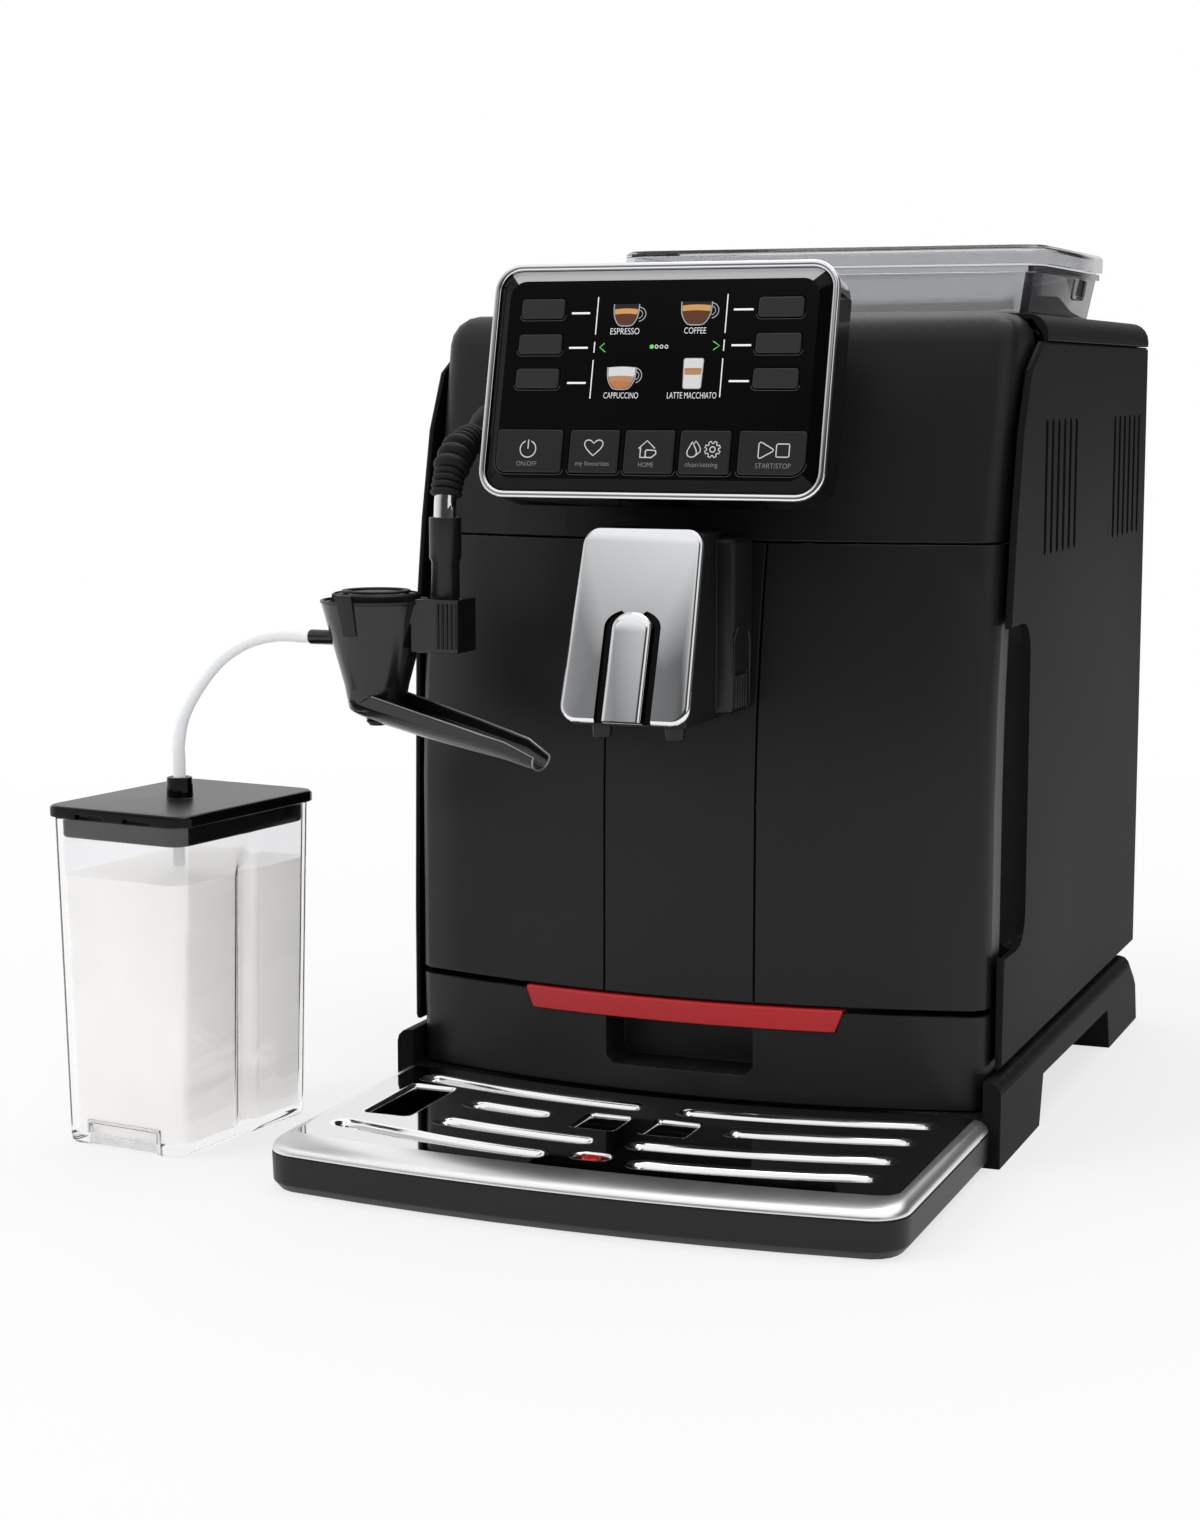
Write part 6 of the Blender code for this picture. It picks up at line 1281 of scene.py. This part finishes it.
# height, and how far out from the funnel's wall
TONGUE = ((0.2065, -0.0004), (0.2065, 0.0009), (0.2215, 0.0010), (0.2228, 0.0006), (0.2228, -0.0006),
          (0.2180, -0.0004))
tongue = []
for i in range(9):
    turn = math.radians(-107.5 + 19 * i / 8)
    profile = [(funnel_radius(z) + out, z) for z, out in TONGUE]
    tongue.append([(FUNNEL_AT.x + r * math.cos(turn), FUNNEL_AT.y + r * math.sin(turn), z) for r, z in profile])
soften(piece("funnel_tongue", lofted(tongue), "soft_black", "milk_frother"), 0.0003)
FUNNEL_RIM = ((0.0216, 0.2186), (0.0222, 0.2188), (0.0224, 0.2194), (0.0221, 0.2199), (0.0215, 0.2199),
              (0.0212, 0.2192))
piece("funnel_rim", turned_ring(FUNNEL_RIM), "soft_black", "milk_frother")
BRACKET_FRONT = Matrix.Translation((0, -0.1175, 0)) @ Matrix.Rotation(math.radians(90), 4, "X")
ribs = []
for i in range(5):
    rib = round_rect(0.00045, 0.0090, 0.0003, (-0.0862 + 0.0019 * i, 0.2105), 2)
    ribs.append(moved(prism(rib, -0.0001, 0.0006), BRACKET_FRONT))
piece("bracket_ribs", joined(*ribs), "soft_black", "milk_frother")
nozzle = [(0, 0.1765), (0.0040, 0.1765)]
for i in range(5):
    z = 0.1758 - 0.0011 * i
    nozzle += [(0.0044, z), (0.0044, z - 0.0005), (0.0039, z - 0.0008)]
stub = bmesh.new()
points = [stub.verts.new((r, 0, z)) for r, z in nozzle + [(0.0030, 0.1695), (0, 0.1695)]]
spokes = [stub.edges.new(pair) for pair in zip(points, points[1:])]
bmesh.ops.spin(stub, geom=points + spokes, axis=(0, 0, 1), cent=(0, 0, 0), steps=32, angle=2 * math.pi, use_merge=True)
bmesh.ops.remove_doubles(stub, verts=stub.verts, dist=WELD)
piece("funnel_nozzle", moved(stub, Matrix.Translation(FUNNEL_AT)), "matt_black", "milk_frother")
print("cap, tongue, bracket and nozzle")

# %% [markdown]
# The spout's plate
#
# A chromed plate covers the front of the spout. Its edge rolls back all round, which draws a
# bright line and a dark one beside it. A ridge with a round top stands on it between two
# channels, and guides the eye to the nozzles. Each is a loft through smaller and smaller
# outlines, and the channels are cut by a Boolean and painted black by the depth of their
# faces: a painted dark reflection.

# %% Plate, channels and ridge
PLATE_LEAN = math.atan2(0.0225, 0.0681)
PLATE_FRAME = Matrix.Translation((0, -0.1173, 0.2513)) @ Matrix.Rotation(math.radians(90) - PLATE_LEAN, 4, "X")
PLATE_LONG, PLATE_HALF, PLATE_TOP_HALF, PLATE_ROUND = 0.0765, 0.0262, 0.0242, 0.0070
RIDGE_HALF, RIDGE_TOP, CHANNEL = 0.0080, -0.0395, 0.0034


def plate_ring(shrink, depth):
    """The plate's outline, narrower at its top."""
    outline = round_rect(PLATE_HALF - shrink, PLATE_LONG / 2 - shrink, PLATE_ROUND - shrink, (0, -PLATE_LONG / 2), 8)
    return [(u * (1 - (1 - PLATE_TOP_HALF / PLATE_HALF) * (1 + v / PLATE_LONG)), v, depth) for u, v in outline]


def ridge_ring(shrink, depth):
    """The ridge's outline: straight sides and a round top."""
    half, foot = RIDGE_HALF - shrink, -PLATE_LONG + 0.0003
    turns = [math.pi * i / 16 for i in range(17)]
    top = [(half * math.cos(a), RIDGE_TOP - shrink + half * 0.75 * math.sin(a)) for a in turns]
    return [(u, v, depth) for u, v in [(half, foot), *top, (-half, foot)]]


def channel_outline(sign):
    """One channel: beside the ridge and a little way round its top."""
    turns = [math.radians(64 * i / 8) for i in range(9)]
    wide, below = RIDGE_HALF + CHANNEL, -PLATE_LONG - 0.001
    outer = [(sign * wide * math.cos(a), RIDGE_TOP + (RIDGE_HALF + CHANNEL * 0.5) * 0.75 * math.sin(a)) for a in turns]
    inner = [(sign * RIDGE_HALF * math.cos(a), RIDGE_TOP + RIDGE_HALF * 0.75 * math.sin(a)) for a in reversed(turns)]
    return [(sign * wide, below), *outer, *inner, (sign * RIDGE_HALF, below)]


def in_channel_painted_dark(polygon):
    """Whether a face of the plate lies in one of the channels, which are painted black as a dark reflection."""
    middle = PLATE_FRAME.inverted() @ polygon.center
    beside = RIDGE_HALF * 0.3 < abs(middle.x) < RIDGE_HALF + CHANNEL + 1e-5
    return beside and -0.0015 < middle.z < -0.0003 and middle.y > -PLATE_LONG + 0.0021


plate_rings = [plate_ring(0.0, -0.0028), plate_ring(0.0, -0.0018)]
for angle in (20, 40, 60, 78, 90):
    turn = math.radians(angle)
    plate_rings.append(plate_ring(0.0020 * (1 - math.cos(turn)), -0.0018 + 0.0018 * math.sin(turn)))
channels = joined(*[prism(channel_outline(sign), -0.0014, 0.0010) for sign in (-1, 1)])
plate_bm = carved(lofted(plate_rings), channels)
plate_made = piece("spout_plate_chrome", moved(plate_bm, PLATE_FRAME), "chrome", "spout_plate", sharp=30,
                   outward=False)
# The channels' faces are painted black: a painted dark reflection on the chrome.
repainted(plate_made, "panel_black", in_channel_painted_dark)
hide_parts("spout_plate")
ridge_rings = [ridge_ring(0.0, -0.0010), ridge_ring(0.0, 0.0004)]
for angle in (25, 50, 72, 90):
    turn = math.radians(angle)
    ridge_rings.append(ridge_ring(0.0022 * (1 - math.cos(turn)), 0.0004 + 0.0020 * math.sin(turn)))
piece("spout_ridge_chrome", moved(lofted(ridge_rings), PLATE_FRAME), "chrome", "spout_plate", sharp=50)
print("plate with", len(plate_made.data.polygons), "faces")

# %% [markdown]
# The spout's sides
#
# Each side of the spout's column has a recess with an arched top, where a finger and a thumb
# take hold to move the spout up and down. Its rear edge catches the light as one thin upright
# line. The recess is drawn here as a raised rim round a glossy field, a few tenths of a
# millimetre high, because the column's wall behind it is thin.

# %% Recess rims
COLUMN_SIDE = 0.0308


def recess_path(inset):
    """From the front foot of the arch over its top to the rear foot, as depth and height."""
    front, rear, low, spring = -0.1012 + inset, -0.0822 - inset, 0.1950, 0.2050
    middle, half = (front + rear) / 2, (rear - front) / 2
    turns = [math.pi * i / 14 for i in range(15)]
    top = [(middle - half * math.cos(a), spring + half * 0.85 * math.sin(a)) for a in turns]
    return [(front, low), *top, (rear, low)]


for sign, side_name in ((-1, "left"), (1, "right")):
    rim_path = [Vector((sign * (COLUMN_SIDE + 0.00005), y, z)) for y, z in recess_path(0.0)]
    piece(f"spout_recess_rim_{side_name}", tube(rim_path, 0.00035, resolution=3), "smooth_black", "spout_body")
print("recess rims")

# %% [markdown]
# The chute's edge
#
# The milk runs down an open chute. Its edge is rounded and polished. A thin tube of light grey
# runs along the edge, down one side, round the tip and up the other: a painted highlight that
# shows as a fine bright line in every view.

# %% Chute edge
CHUTE_START, CHUTE_TIP = Vector((-0.121, -0.109, 0.182)), Vector((-0.037, -0.130, 0.164))
# share of the way to the tip, radius, sink
CHUTE_SECTIONS = ((0.12, 0.0120, 0.0), (0.34, 0.0115, 0.0), (0.55, 0.0108, 0.0), (0.72, 0.0099, 0.0),
                  (0.86, 0.0088, 0.0), (1.0, 0.0062, -0.0022))
CHUTE_WALL = 0.0014
chute_way = (CHUTE_TIP - CHUTE_START).normalized()
chute_side = chute_way.cross(Vector((0, 0, 1))).normalized()
chute_up = chute_side.cross(chute_way).normalized()


def chute_point(share, radius, sink, angle):
    turn = math.radians(angle)
    middle = radius - CHUTE_WALL / 2
    return (CHUTE_START + (CHUTE_TIP - CHUTE_START) * share + chute_up * sink + chute_side * middle * math.cos(turn)
            + chute_up * middle * 0.8 * math.sin(turn))


edge_path = [chute_point(*section, 165) for section in CHUTE_SECTIONS]
edge_path += [chute_point(*CHUTE_SECTIONS[-1], angle) for angle in range(180, 375, 15)]
edge_path += [chute_point(*section, 375) for section in reversed(CHUTE_SECTIONS)]
# The edge tube's light grey is a painted highlight.
piece("chute_edge", tube(edge_path, 0.00042, resolution=3), "painted_highlight_edge", "milk_frother")
print("chute edge", round(length_of(edge_path) * 1000, 1), "mm")
